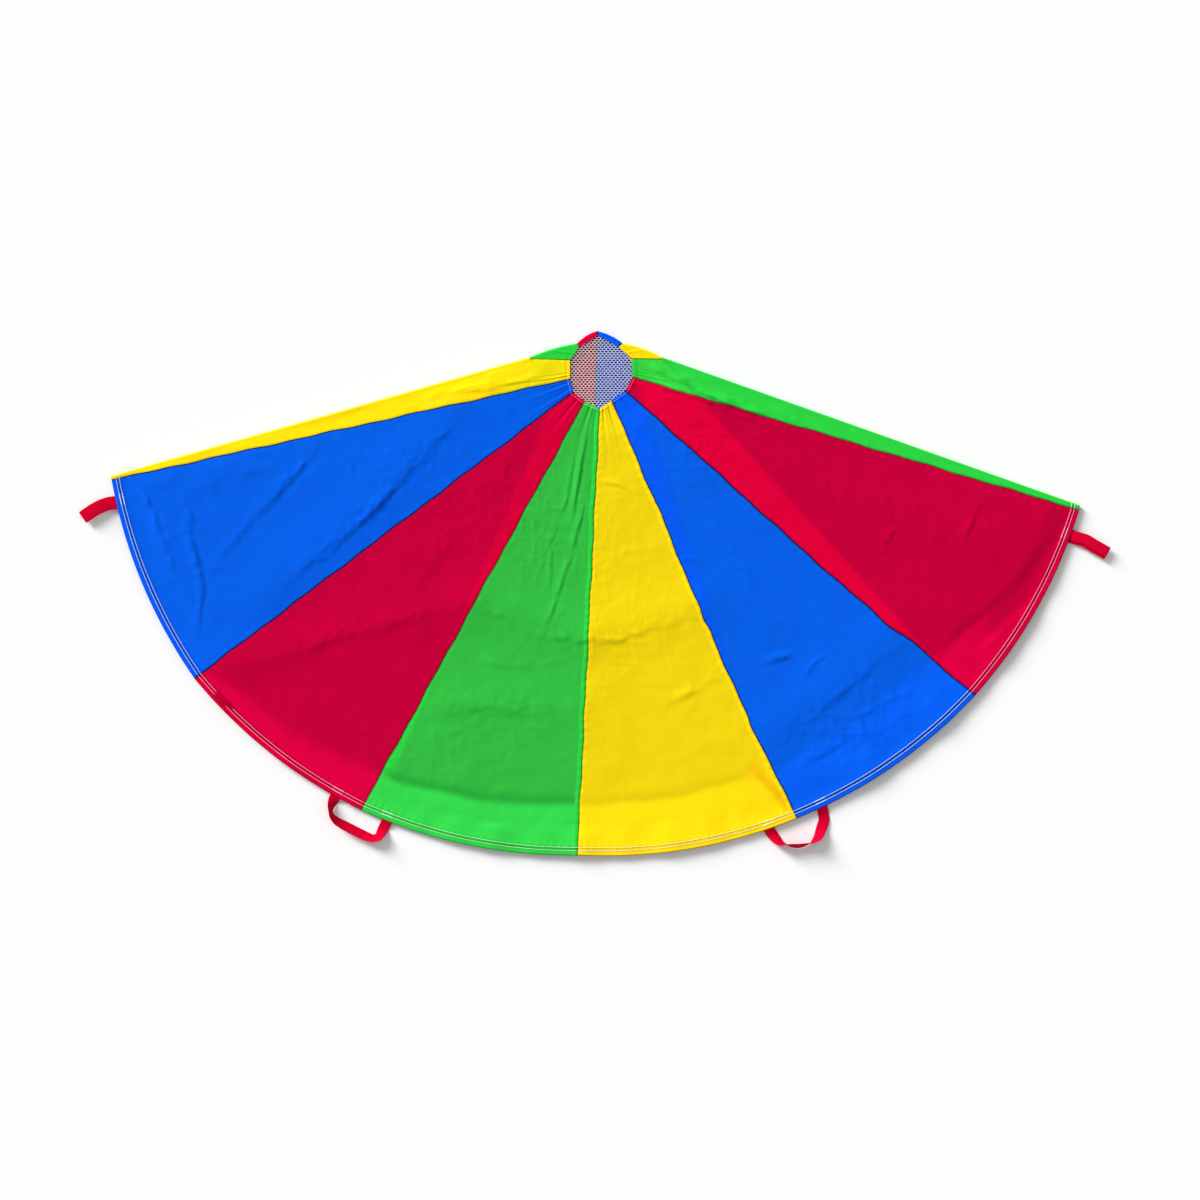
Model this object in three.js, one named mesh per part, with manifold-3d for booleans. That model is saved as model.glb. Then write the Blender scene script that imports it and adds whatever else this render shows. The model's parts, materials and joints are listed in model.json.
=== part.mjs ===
// Play parachute, folded in half and laid flat on the floor.
//
// Twelve tapered cloth gores are sewn side by side round a net at the crown. Six webbing handles
// are sewn under the rim hem, one on every second seam. The canopy is doubled over a crease that
// passes just above the crown, so that half of it lies on top and half lies underneath.
//
// Millimetres, +Z up. +X runs to the right and -Y points from the crown to the rim. Everything is
// laid out round the centre of the crown net, and at the end the origin is moved to the middle of
// the part, on the floor.
import * as THREE from "three";
import { mergeVertices } from "three/addons/utils/BufferGeometryUtils.js";
import Module from "manifold-3d";

const solids = await Module();
solids.setup();

// Canopy
const CANOPY_RADIUS = 914; // centre of the crown to the hem edge
const NET_RADIUS = 61.5; // centre of the crown to a seam's upper end
const CLOTH = 1; // one ply
const HEM_WIDTH = 18; // turned edge at the rim
const HEM_THICKNESS = 2; // the turned edge is two plies
const SEWN_GAP = 0.3; // clearance between pieces that are sewn together

// How the cloth lies
const FLOOR_GAP = 0.2; // under the lowest webbing
const FLAT_CUT = 0.5; // depth of the flats that the lower layer rests on
const TOP_LEVEL = 9; // upper layer's middle, away from its edges
const WAVE_HEIGHT = 3; // tallest fold of the upper layer
const WAVE_WIDTH = 42; // half width of such a fold
const ARCH_HEIGHT = 1.6; // the lower layer between its flats
const ARCH_PITCH = 400; // from flat to flat
const ARCH_FLAT_SHARE = 0.35; // part of the arch's rise that lies flat
const EDGE_FLAT = 24; // level strip along the rim, a little wider than the hem
const EDGE_RISE = 40; // width over which the cloth leaves the level of an edge
const OVERHANG_FLAT = 27; // beyond the lower layer's rim, where the upper layer is still high
const OVERHANG_FALL = 22; // width over which it then drops to the floor
const LIFT_FLAT = 80; // length of rim each side of a handle that lies on its webbing
const LIFT_FALL = 60; // length of rim over which it comes down from there

// Crown net
const NET_THICKNESS = 0.8;
const NET_MARGIN = 2; // sewn under the gores
const NET_PITCH = 12; // from gap to gap
const NET_STRAND = 3; // cloth left between two gaps

// Webbing handles
const WEBBING_WIDTH = 20;
const WEBBING_THICKNESS = 1.6;
const HANDLE_SPAN = 107; // between the middles of the two sewn ends
const HANDLE_DEPTH = 38.5; // from the hinge line to the far side's middle
const HINGE_REACH = 4.5; // from the hem edge out to the line the webbing bends on
const HINGE_GAP = 0.3; // between a sewn end's nose and the loop's nose
const HANDLE_LEAN = 62; // degrees from flat at the far side of an open loop
const DRAWN_DEPTH = 60; // the same two lengths for the loop that lies further out and aside
const DRAWN_ALONG = 21;
const DOUBLED_RISE = 1.2; // how far the upper ply of a doubled loop bows up
const DOUBLED_TURN = 4.6; // radius of its turn at the far end
const LEFT_LOOP_LENGTH = 70; // from the hem edge to the far end
const RIGHT_LOOP_LENGTH = 77;
const LEFT_LOOP_SETBACK = 42; // from the seam along the rim
const RIGHT_LOOP_SETBACK = 47;

// Heights that follow from the stack of plies. Every handle is sewn to the canopy's inner face,
// which faces down in the upper layer and up in the lower one.
const REST_LEVEL = HEM_THICKNESS / 2;
const TAB_LEVEL = FLOOR_GAP + WEBBING_THICKNESS / 2;
const LIFTED_LEVEL = TAB_LEVEL + WEBBING_THICKNESS / 2 + SEWN_GAP + HEM_THICKNESS / 2;
const LOWER_TAB_LEVEL = HEM_THICKNESS + SEWN_GAP + WEBBING_THICKNESS / 2;
const UPPER_TAB_LEVEL = LOWER_TAB_LEVEL + WEBBING_THICKNESS + SEWN_GAP;
const CREASE_LEVEL = UPPER_TAB_LEVEL + WEBBING_THICKNESS / 2 + SEWN_GAP + HEM_THICKNESS / 2;
const FOLD_RADIUS = (CREASE_LEVEL - REST_LEVEL) / 2;

// The seams are numbered from the left fold round the upper layer to the right fold, 0 to 6, and
// back under it, 7 to 11. A bearing is in degrees from +X. A reach is a share of the net's radius
// at the ring and of the canopy's radius at the rim.
const ringBearings = [194, 218, 242.5, 269, 290, 322.5, 349.5, 22, 53, 94, 131.5, 160];
const ringReachShares = [0.95, 1.05, 1.02, 1.13, 0.94, 0.95, 0.98, 1.03, 0.91, 1.08, 0.97, 0.98];
const rimBearings = [192.5, 217.2, 241.4, 267.3, 293.7, 319.2, 343.8, 319.4, 292.2, 267.3, 242.9, 216.7];
const rimReachShares = [1.013, 1.03, 1.011, 0.98, 0.988, 1.002, 1.008, 0.891, 0.882, 0.883, 0.93, 1.0];
// Seams 4 and 5 bow a little towards the left, as a share of their length.
const seamBowShares = [0, 0, 0, 0, 0.01, 0.014, 0, 0, 0, 0, 0, 0];

// Where the under seams 7 to 11 cross the crease, as shares of the net's radius
const creaseBearings = { 7: 12.8, 8: 52.5, 9: 95, 10: 129.9, 11: 168.8 };
const creaseReachShares = { 7: 1.9, 8: 1.07, 9: 1.21, 10: 1.09, 11: 2.16 };
const creaseBulgeShare = 0.05; // outward bow of the crease between two of those seams
const LEFT_TIP = polar(1.015 * CANOPY_RADIUS, 192.1);
const RIGHT_TIP = polar(1.009 * CANOPY_RADIUS, 344.35);

// Main folds of the upper layer: the two ends as [reach share, bearing], and a height share
const waveShares = [
  { from: [0.93, 219], to: [0.55, 239], height: 0.9 },
  { from: [0.83, 214], to: [0.3, 194], height: 0.8 },
  { from: [0.53, 241], to: [0.53, 267.5], height: 1 },
  { from: [0.53, 267.5], to: [0.51, 293], height: 0.9 },
  { from: [0.8, 297], to: [0.79, 317.5], height: 1 },
  { from: [0.73, 246], to: [0.69, 265.5], height: 0.7 },
  { from: [0.35, 330], to: [0.85, 336], height: 0.6 },
];

// Facets
const GORE_COLUMNS = 7;
const GORE_ROWS = 12;
const UNDER_COLUMNS = 5;
const BEND_STEPS = 3;
const SIDE_COLUMNS = { upper: 3, under: 5 };
const LOOP_STEPS = 24;
const DOUBLED_STEPS = 7;
const NOSE_ANGLES = [35, 70];
const LEAST_STEP = 0.4; // narrowest column of a side gore
const LEANING_POWER = 0.65; // shape of a loop's line: 1 is an ellipse, and less is squarer
const FLAT_POWER = 0.95;
const LEAN_POWER = 1.5; // how late a loop starts to lean
const DROP_SHARE = 0.6; // of a loop's depth, within which it comes down to the floor
const quarterTurns = [0, 90, 180, 270];

const YELLOW = material(0xfcd70a);
const BLUE = material(0x0a58e6);
const RED = material(0xd6063a);
const GREEN = material(0x2ecc46);
const NET = material(0xf4f4f2);
const WEBBING = material(0xdc0534, 0.75);

function material(color, roughness = 0.55) {
  return new THREE.MeshStandardMaterial({ color, roughness, metalness: 0, side: THREE.DoubleSide });
}

function polar(reach, bearing) {
  const angle = THREE.MathUtils.degToRad(bearing);
  return new THREE.Vector2(reach * Math.cos(angle), reach * Math.sin(angle));
}

const mix = (a, b, share) => a.clone().lerp(b, share);
const step = (low, high, value) => THREE.MathUtils.smoothstep(value, low, high);
const bowAt = (u) => 4 * u * (1 - u);

// The perpendicular of a direction that points away from the crown's centre.
function outward(from, to, origin = new THREE.Vector2()) {
  const along = to.clone().sub(from).normalize();
  const across = new THREE.Vector2(along.y, -along.x);
  return across.dot(mix(from, to, 0.5).sub(origin)) < 0 ? across.negate() : across;
}

const ring = ringBearings.map((bearing, k) => polar(ringReachShares[k] * NET_RADIUS, bearing));
const rim = rimBearings.map((bearing, k) => polar(rimReachShares[k] * CANOPY_RADIUS, bearing));
const crease = {};
for (const k of [7, 8, 9, 10, 11]) {
  crease[k] = polar(creaseReachShares[k] * NET_RADIUS, creaseBearings[k]);
}
const creaseLine = [LEFT_TIP, crease[11], crease[10], crease[9], crease[8], crease[7], RIGHT_TIP];

const LEFT_NORMAL = outward(LEFT_TIP, crease[11], rim[3]);
const RIGHT_NORMAL = outward(crease[7], RIGHT_TIP, rim[3]);
const creaseNormal = { 7: RIGHT_NORMAL, 11: LEFT_NORMAL };
for (const k of [8, 9, 10]) {
  const before = outward(crease[k - 1], crease[k]);
  creaseNormal[k] = before.add(outward(crease[k], crease[k + 1])).normalize();
}
const creaseBase = {};
for (const k of [7, 8, 9, 10, 11]) {
  creaseBase[k] = crease[k].clone().addScaledVector(creaseNormal[k], -FOLD_RADIUS);
}

function distanceToSegment(point, from, to) {
  const along = to.clone().sub(from);
  const share = THREE.MathUtils.clamp(point.clone().sub(from).dot(along) / along.lengthSq(), 0, 1);
  return point.distanceTo(mix(from, to, share));
}

function distanceToCrease(point) {
  const spans = creaseLine.slice(1).map((end, i) => distanceToSegment(point, creaseLine[i], end));
  return Math.min(...spans);
}

// Distance in from a rim that is given by its corners. Beyond the first or last corner the nearest
// stretch still counts.
function distanceToRim(point, corners) {
  const spans = corners.slice(1).map((end, i) => distanceToSegment(point, corners[i], end));
  return Math.min(...spans);
}

function rimCorners(tips, seams) {
  const corners = [tips[0]];
  for (const k of seams) {
    corners.push(rim[k]);
  }
  corners.push(tips[1]);
  return corners.flatMap((end, i) => (i ? [rimArc(corners[i - 1], end, 0.5), end] : [end]));
}

// A point on the rim's arc between two corners.
function rimArc(from, to, u) {
  const chord = from.distanceTo(to);
  const bow = (bowAt(u) * chord * chord) / (8 * CANOPY_RADIUS);
  return mix(from, to, u).addScaledVector(outward(from, to), bow);
}

const upperRim = rimCorners([LEFT_TIP, RIGHT_TIP], [0, 1, 2, 3, 4, 5, 6]);
const underRim = rimCorners([LEFT_TIP, RIGHT_TIP], [11, 10, 9, 8, 7]);

function waveAt(point) {
  return waveShares.reduce((sum, wave) => {
    const ends = [wave.from, wave.to].map(([reach, bearing]) => polar(reach * CANOPY_RADIUS, bearing));
    const away = distanceToSegment(point, ends[0], ends[1]) / WAVE_WIDTH;
    return sum + wave.height * WAVE_HEIGHT * Math.exp(-away * away);
  }, 0);
}

// How far a point lies beyond the lower layer's rim, seen from the crown. It is negative over the
// lower layer.
function beyondUnderRim(point) {
  const reaches = underRim.slice(1).map((end, i) => {
    const start = underRim[i];
    const [before, after] = [start.cross(point), end.cross(point)];
    const crosses = before * after <= 0 && mix(start, end, 0.5).dot(point) > 0;
    return crosses ? mix(start, end, before / (before - after)).length() : 0;
  });
  const reach = Math.max(...reaches) || Math.min(LEFT_TIP.length(), RIGHT_TIP.length());
  return point.length() - reach;
}

// Height of the upper layer's middle. It is level at the crown and along the crease. Beyond the
// lower layer its rim comes down to the floor, or to the webbing that is sewn under it.
function upperLevel(point) {
  const fromHandle = Math.min(point.distanceTo(rim[2]), point.distanceTo(rim[4]));
  const lift = step(LIFT_FLAT, LIFT_FLAT + LIFT_FALL, fromHandle);
  const fallen = THREE.MathUtils.lerp(LIFTED_LEVEL, REST_LEVEL, lift);
  const overhang = step(OVERHANG_FLAT, OVERHANG_FLAT + OVERHANG_FALL, beyondUnderRim(point));
  const edge = THREE.MathUtils.lerp(CREASE_LEVEL, fallen, overhang);
  const crown = step(NET_RADIUS + EDGE_FLAT, NET_RADIUS + EDGE_FLAT + EDGE_RISE, point.length());
  const fold = step(2 * FOLD_RADIUS, EDGE_RISE, distanceToCrease(point));
  const free = TOP_LEVEL + waveAt(point);
  const open = THREE.MathUtils.lerp(CREASE_LEVEL, free, Math.min(crown, fold));
  const inside = step(EDGE_FLAT, EDGE_FLAT + EDGE_RISE, distanceToRim(point, upperRim));
  return THREE.MathUtils.lerp(edge, open, inside);
}

// Height of the lower layer's middle. It arches a little between the flats that it rests on, and
// lies level along the crease and along its own rim.
function underLevel(point) {
  const rise = Math.sin((Math.PI * point.length()) / ARCH_PITCH) ** 2;
  const arch = Math.max(0, rise - ARCH_FLAT_SHARE) / (1 - ARCH_FLAT_SHARE);
  const resting = CLOTH / 2 - FLAT_CUT + ARCH_HEIGHT * arch;
  const fold = step(2 * FOLD_RADIUS, EDGE_RISE, distanceToCrease(point));
  const hem = step(EDGE_FLAT, EDGE_FLAT + EDGE_RISE, distanceToRim(point, underRim));
  return THREE.MathUtils.lerp(REST_LEVEL, resting, Math.min(fold, hem));
}

// A place in the folded cloth: a point in plan, how far round the crease it is (0 on top, pi
// underneath) and the crease's outward normal there. It becomes a point on the ply's upper or
// lower face.
function onCloth({ plan, turn, normal }, thickness, side) {
  let level = REST_LEVEL + FOLD_RADIUS * (1 + Math.cos(turn));
  if (turn === 0) {
    level = upperLevel(plan);
  }
  if (turn === Math.PI) {
    level = underLevel(plan);
  }
  const half = (side * thickness) / 2;
  const spread = turn === Math.PI ? 0 : half * Math.sin(turn);
  const x = plan.x + (normal ? normal.x * spread : 0);
  const y = plan.y + (normal ? normal.y * spread : 0);
  return new THREE.Vector3(x, y, Math.max(0, level + half * Math.cos(turn)));
}

// The lower face of a box is split into triangles along the other diagonals than its upper face.
// This turns them, so that a twisted cell of cloth keeps its thickness.
function matchDiagonals(geometry) {
  const cells = geometry.groups.at(-1);
  const { index } = geometry;
  for (let i = cells.start; i < cells.start + cells.count; i += 6) {
    const [a, b, d, , c] = [0, 1, 2, 3, 4].map((corner) => index.getX(i + corner));
    [a, b, c, a, c, d].forEach((vertex, corner) => index.setX(i + corner, vertex));
  }
}

// A closed body whose every vertex is placed by its column, its row and its side, -1 or 1.
function mappedBox(columns, rows, place) {
  const geometry = new THREE.BoxGeometry(1, 1, 1, columns, rows, 1);
  matchDiagonals(geometry);
  const position = geometry.getAttribute("position");
  for (let i = 0; i < position.count; i++) {
    const column = Math.round((position.getX(i) + 0.5) * columns);
    const row = Math.round((position.getY(i) + 0.5) * rows);
    const at = place(column, row, Math.sign(position.getZ(i)));
    position.setXYZ(i, at.x, at.y, at.z);
  }
  faceOutward(geometry);
  geometry.computeVertexNormals();
  return geometry;
}

// Turns every face round if the mapping mirrored the body.
function faceOutward(geometry) {
  const position = geometry.getAttribute("position");
  const index = geometry.index;
  const corner = [0, 1, 2].map(() => new THREE.Vector3());
  let volume = 0;
  for (let i = 0; i < index.count; i += 3) {
    corner.forEach((at, c) => at.fromBufferAttribute(position, index.getX(i + c)));
    volume += corner[0].dot(corner[1].clone().cross(corner[2]));
  }
  if (volume < 0) {
    for (let i = 0; i < index.count; i += 3) {
      const second = index.getX(i + 1);
      index.setX(i + 1, index.getX(i + 2));
      index.setX(i + 2, second);
    }
  }
}

// Shares of a run at which rows lie: even steps to the hem, a step in thickness, and the edge.
function rowShares(length, steps) {
  const hem = 1 - HEM_WIDTH / length;
  const shares = steps.map((share) => share * hem);
  return [...shares, hem + CLOTH / 2 / length, 1];
}

const isHem = (row, rows) => row >= rows - 1;
const evenSteps = (count) => Array.from({ length: count + 1 }, (_, i) => i / count);

function seamPoint(k, share) {
  const length = ring[k].distanceTo(rim[k]);
  const left = new THREE.Vector2(-Math.sin(Math.PI * share ** 1.6) * seamBowShares[k] * length, 0);
  return mix(ring[k], rim[k], share).add(left);
}

// A gore that lies wholly in the upper layer, between seams a and b.
function upperGore(a, b) {
  const shares = rowShares(ring[a].distanceTo(rim[a]), evenSteps(GORE_ROWS));
  const rows = shares.length - 1;
  return mappedBox(GORE_COLUMNS, rows, (column, row, side) => {
    const [left, right] = [seamPoint(a, shares[row]), seamPoint(b, shares[row])];
    const inset = SEWN_GAP / 2 / left.distanceTo(right);
    const u = THREE.MathUtils.lerp(inset, 1 - inset, column / GORE_COLUMNS);
    const plan = mix(left, right, u).lerp(rimArc(left, right, u), shares[row]);
    return onCloth({ plan, turn: 0 }, isHem(row, rows) ? HEM_THICKNESS : CLOTH, side);
  });
}

// The line of an under seam, or of the cloth between two: out from the ring to the crease, round
// it, and back below to the rim. Rows are counted along it.
const underSteps = [0.055, 0.14, ...evenSteps(9).slice(2)];
const UNDER_ROWS = 1 + BEND_STEPS + underSteps.length + 2;

function underLine(start, base, normal, end, row) {
  if (row < 2) {
    return { plan: mix(start, base, row), turn: 0, normal, run: row * start.distanceTo(base) };
  }
  const ahead = start.distanceTo(base);
  const around = Math.PI * FOLD_RADIUS;
  if (row < 1 + BEND_STEPS) {
    const turn = (Math.PI * (row - 1)) / BEND_STEPS;
    const plan = base.clone().addScaledVector(normal, FOLD_RADIUS * Math.sin(turn));
    return { plan, turn, normal, run: ahead + turn * FOLD_RADIUS };
  }
  const length = base.distanceTo(end);
  const shares = [0, ...rowShares(length, underSteps)];
  const share = shares[row - 1 - BEND_STEPS];
  const run = ahead + around + share * length;
  return { plan: mix(base, end, share), turn: Math.PI, normal, run, share };
}

const seamLine = (k, row) => underLine(ring[k], creaseBase[k], creaseNormal[k], rim[k], row);

// A gore that starts at the back of the crown net and lies underneath, between seams a and b.
function underGore(a, b) {
  return mappedBox(UNDER_COLUMNS, UNDER_ROWS, (column, row, side) => {
    const [left, right] = [seamLine(a, row), seamLine(b, row)];
    const inset = SEWN_GAP / 2 / left.plan.distanceTo(right.plan);
    const u = THREE.MathUtils.lerp(inset, 1 - inset, column / UNDER_COLUMNS);
    const normal = mix(creaseNormal[a], creaseNormal[b], u).normalize();
    const bulge = bowAt(u) * creaseBulgeShare * NET_RADIUS;
    const base = mix(creaseBase[a], creaseBase[b], u).addScaledVector(normal, bulge);
    const place = underLine(mix(ring[a], ring[b], u), base, normal, mix(rim[a], rim[b], u), row);
    place.plan.lerp(mix(left.plan, right.plan, u), place.share ?? 0);
    if (place.share) {
      const arc = rimArc(left.plan, right.plan, u).sub(mix(left.plan, right.plan, u));
      place.plan.addScaledVector(arc, place.share);
    }
    return onCloth(place, isHem(row, UNDER_ROWS) ? HEM_THICKNESS : CLOTH, side);
  });
}

// Where a point of the unfolded plane goes once the cloth beyond the base line is folded under.
function folded(point, base, normal) {
  const beyond = point.clone().sub(base).dot(normal);
  const around = Math.PI * FOLD_RADIUS;
  if (beyond <= 0) {
    return { plan: point, turn: 0, normal };
  }
  const foot = point.clone().addScaledVector(normal, -beyond);
  if (beyond < around) {
    const turn = beyond / FOLD_RADIUS;
    return { plan: foot.addScaledVector(normal, FOLD_RADIUS * Math.sin(turn)), turn, normal };
  }
  return { plan: foot.addScaledVector(normal, around - beyond), turn: Math.PI, normal };
}

function unfolded({ plan, turn }, base, normal) {
  if (turn === 0) {
    return plan;
  }
  const beyond = plan.clone().sub(base).dot(normal);
  const foot = plan.clone().addScaledVector(normal, -beyond);
  const around = Math.PI * FOLD_RADIUS;
  return foot.addScaledVector(normal, turn === Math.PI ? around - beyond : turn * FOLD_RADIUS);
}

// A gore that the crease divides: from a seam of the upper layer, round the fold, to an under seam.
function sideGore(upper, under) {
  const { upper: front, under: back } = SIDE_COLUMNS;
  const columns = front + BEND_STEPS + back;
  const [base, normal] = [creaseBase[under], creaseNormal[under]];
  const whole = seamLine(under, UNDER_ROWS).run;
  return mappedBox(columns, UNDER_ROWS, (column, row, side) => {
    const far = seamLine(under, row);
    const start = seamPoint(upper, far.run / whole);
    const end = unfolded(far, base, normal);
    const width = start.distanceTo(end);
    const across = (u) => mix(start, end, u).lerp(rimArc(start, end, u), far.run / whole);
    const beyond = (u) => across(u).sub(base).dot(normal);
    const least = LEAST_STEP / width;
    const inset = SEWN_GAP / 2 / width;
    const first = crossing(beyond, 0, front * least, 1 - (BEND_STEPS + back) * least);
    const second = crossing(beyond, Math.PI * FOLD_RADIUS, first + BEND_STEPS * least, 1 - back * least);
    const stops = [inset, first, second, 1 - inset];
    const counts = [front, BEND_STEPS, back];
    const u = between(stops, counts, column);
    const thickness = isHem(row, UNDER_ROWS) ? HEM_THICKNESS : CLOTH;
    return onCloth(folded(across(u), base, normal), thickness, side);
  });
}

// The share at which a rising function reaches a value, kept between two limits.
function crossing(rising, value, low, high) {
  let [a, b] = [low, high];
  for (let i = 0; i < 40; i++) {
    const middle = (a + b) / 2;
    [a, b] = rising(middle) < value ? [middle, b] : [a, middle];
  }
  return (a + b) / 2;
}

// The share at a column, when each stretch between two stops has its own count of columns.
function between(stops, counts, column) {
  let stretch = 0;
  let left = column;
  while (left > counts[stretch] && stretch < counts.length - 1) {
    left -= counts[stretch];
    stretch += 1;
  }
  return THREE.MathUtils.lerp(stops[stretch], stops[stretch + 1], left / counts[stretch]);
}

// The crown net: a plate in the ring's outline with rows of diamond gaps.
function crownNet() {
  const outline = ring.map((corner) => corner.clone().setLength(corner.length() + NET_MARGIN));
  const plate = new THREE.ExtrudeGeometry(new THREE.Shape(outline), {
    depth: NET_THICKNESS,
    bevelEnabled: false,
  });
  const half = (NET_PITCH - NET_STRAND) / 2;
  const gaps = [];
  const count = Math.ceil((2 * NET_RADIUS) / NET_PITCH);
  for (let row = -count; row <= count; row++) {
    for (let i = -count; i <= count; i++) {
      const middle = new THREE.Vector2(i + (row % 2) / 2, row / 2).multiplyScalar(NET_PITCH);
      const corners = quarterTurns.map((bearing) => polar(half, bearing).add(middle));
      if (corners.every(insideRing)) {
        const gap = new THREE.CylinderGeometry(half, half, 3 * NET_THICKNESS, corners.length);
        gaps.push(solid(gap.rotateX(Math.PI / 2).translate(middle.x, middle.y, NET_THICKNESS / 2)));
      }
    }
  }
  const top = CREASE_LEVEL - CLOTH / 2 - SEWN_GAP;
  return geometryOf(solid(plate).subtract(solids.Manifold.union(gaps))).translate(0, 0, top - NET_THICKNESS);
}

function solid(geometry) {
  const bare = geometry.index ? geometry.toNonIndexed() : geometry;
  const welded = new THREE.BufferGeometry().setAttribute("position", bare.getAttribute("position"));
  const merged = mergeVertices(welded);
  const vertProperties = merged.getAttribute("position").array;
  const triVerts = new Uint32Array(merged.index.array);
  return new solids.Manifold(new solids.Mesh({ numProp: 3, vertProperties, triVerts }));
}

function geometryOf(manifold) {
  const { vertProperties, triVerts } = manifold.getMesh();
  const geometry = new THREE.BufferGeometry();
  geometry.setAttribute("position", new THREE.BufferAttribute(vertProperties, 3));
  geometry.setIndex(new THREE.BufferAttribute(triVerts, 1));
  geometry.computeVertexNormals();
  return geometry;
}

function insideRing(point) {
  return ring.every((corner, k) => {
    const next = ring[(k + 1) % ring.length];
    const normal = outward(corner, next);
    return corner.clone().sub(point).dot(normal) > NET_STRAND / 2;
  });
}

// A hinge's own frame: its middle, the direction along the hem and the direction out of it.
function hingeFrame(left, right) {
  const along = right.clone().sub(left).normalize();
  const out = outward(left, right);
  const middle = mix(left, right, 0.5).addScaledVector(out, HINGE_REACH);
  return { middle, along, out };
}

function inFrame({ middle, along, out }, across, beyond, height) {
  const plan = middle.clone().addScaledVector(along, across).addScaledVector(out, beyond);
  return new THREE.Vector3(plan.x, plan.y, height);
}

const directionIn = (frame, across, beyond, height) =>
  inFrame({ ...frame, middle: new THREE.Vector2() }, across, beyond, height).normalize();

// Webbing along a line of stations, each a middle point, the way across its width, the way
// through its thickness and a share of the full thickness.
function webbing(stations) {
  return mappedBox(stations.length - 1, 1, (column, row, side) => {
    const { at, wide, thick, share } = stations[column];
    return at
      .clone()
      .addScaledVector(wide, ((2 * row - 1) * WEBBING_WIDTH) / 2)
      .addScaledVector(thick, (side * share * WEBBING_THICKNESS) / 2);
  });
}

// Stations that round off an end, from the outermost to the full thickness.
function nose(at, away, wide, thick) {
  const stations = NOSE_ANGLES.map((degrees) => {
    const angle = THREE.MathUtils.degToRad(degrees);
    const reach = (Math.sin(angle) * WEBBING_THICKNESS) / 2;
    return { at: at.clone().addScaledVector(away, reach), wide, thick, share: Math.cos(angle) };
  });
  return [...stations.reverse(), { at, wide, thick, share: 1 }];
}

// A sewn end of a handle: it lies along the hem's inner face and runs out almost to the hinge line.
function tab(frame, { across, level, inward }) {
  const up = new THREE.Vector3(0, 0, 1);
  const wide = directionIn(frame, 1, 0, 0);
  const away = directionIn(frame, 0, 1, 0);
  const inner = inFrame(frame, across, -HINGE_REACH - inward, level);
  const outer = inFrame(frame, across, -WEBBING_THICKNESS - HINGE_GAP, level);
  return webbing([...nose(outer, away, wide, up), { at: inner, wide, thick: up, share: 1 }]);
}

// An open loop: its two legs leave the hem flat. The far side may lean on its edge, lie further
// out, or be drawn along the rim.
function openLoop(frame, { halfSpan, level, lean, power, depth, drawn }) {
  const stations = [];
  for (let i = 1; i < LOOP_STEPS; i++) {
    const angle = Math.PI * (1 - i / LOOP_STEPS);
    const out = Math.sin(angle) ** power;
    const side = Math.sign(Math.cos(angle)) * Math.abs(Math.cos(angle)) ** power;
    const tilt = THREE.MathUtils.degToRad(lean) * Math.sin(angle) ** LEAN_POWER;
    const half = (WEBBING_THICKNESS * Math.cos(tilt) + WEBBING_WIDTH * Math.sin(tilt)) / 2;
    const dropped = THREE.MathUtils.lerp(level, TAB_LEVEL, step(0, DROP_SHARE, out));
    const height = Math.max(FLOOR_GAP + half, dropped);
    stations.push({ at: inFrame(frame, halfSpan * side + drawn * out, depth * out, height), tilt, share: 1 });
  }
  stations.forEach((station, i) => {
    const before = stations[Math.max(0, i - 1)].at;
    const after = stations[Math.min(stations.length - 1, i + 1)].at;
    const forward = after.clone().sub(before).normalize();
    const level = new THREE.Vector3(-forward.y, forward.x, 0).normalize();
    station.wide = level.applyAxisAngle(forward, station.tilt);
    station.thick = station.wide.clone().cross(forward).normalize();
  });
  const up = new THREE.Vector3(0, 0, -1);
  const wide = directionIn(frame, 1, 0, 0);
  const back = directionIn(frame, 0, -1, 0);
  const start = nose(inFrame(frame, -halfSpan, 0, level), back, wide, up);
  const end = nose(inFrame(frame, halfSpan, 0, level), back, wide.clone().negate(), up);
  return webbing([...start, ...stations, ...end.reverse()]);
}

// A doubled loop: the upper ply runs out, turns over and comes back under itself.
function doubledLoop(frame, length) {
  const wide = directionIn(frame, 1, 0, 0);
  const turnMiddle = length - HINGE_REACH - DOUBLED_TURN - WEBBING_THICKNESS / 2;
  const turnLevel = TAB_LEVEL + DOUBLED_TURN;
  const profile = [];
  for (let i = 1; i <= DOUBLED_STEPS; i++) {
    const share = i / DOUBLED_STEPS;
    const level = THREE.MathUtils.lerp(UPPER_TAB_LEVEL, turnLevel + DOUBLED_TURN, step(0, 1, share));
    profile.push([share * turnMiddle, level + Math.sin(Math.PI * share) ** 2 * DOUBLED_RISE]);
  }
  for (let i = 1; i <= DOUBLED_STEPS; i++) {
    const angle = (Math.PI * i) / DOUBLED_STEPS;
    const beyond = turnMiddle + DOUBLED_TURN * Math.sin(angle);
    profile.push([beyond, turnLevel + DOUBLED_TURN * Math.cos(angle)]);
  }
  profile.push([turnMiddle / 2, TAB_LEVEL]);
  const points = profile.map(([beyond, level]) => inFrame(frame, 0, beyond, level));
  const stations = points.map((at, i) => {
    const before = points[Math.max(0, i - 1)];
    const after = points[Math.min(points.length - 1, i + 1)];
    const forward = after.clone().sub(before).normalize();
    return { at, wide, thick: wide.clone().cross(forward), share: 1 };
  });
  const back = directionIn(frame, 0, -1, 0);
  const up = new THREE.Vector3().crossVectors(back, wide);
  const start = nose(inFrame(frame, 0, 0, UPPER_TAB_LEVEL), back, wide, up);
  const end = nose(inFrame(frame, 0, 0, LOWER_TAB_LEVEL), back, wide, up.clone().negate());
  return webbing([...start, ...stations, ...end.reverse()]);
}

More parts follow.
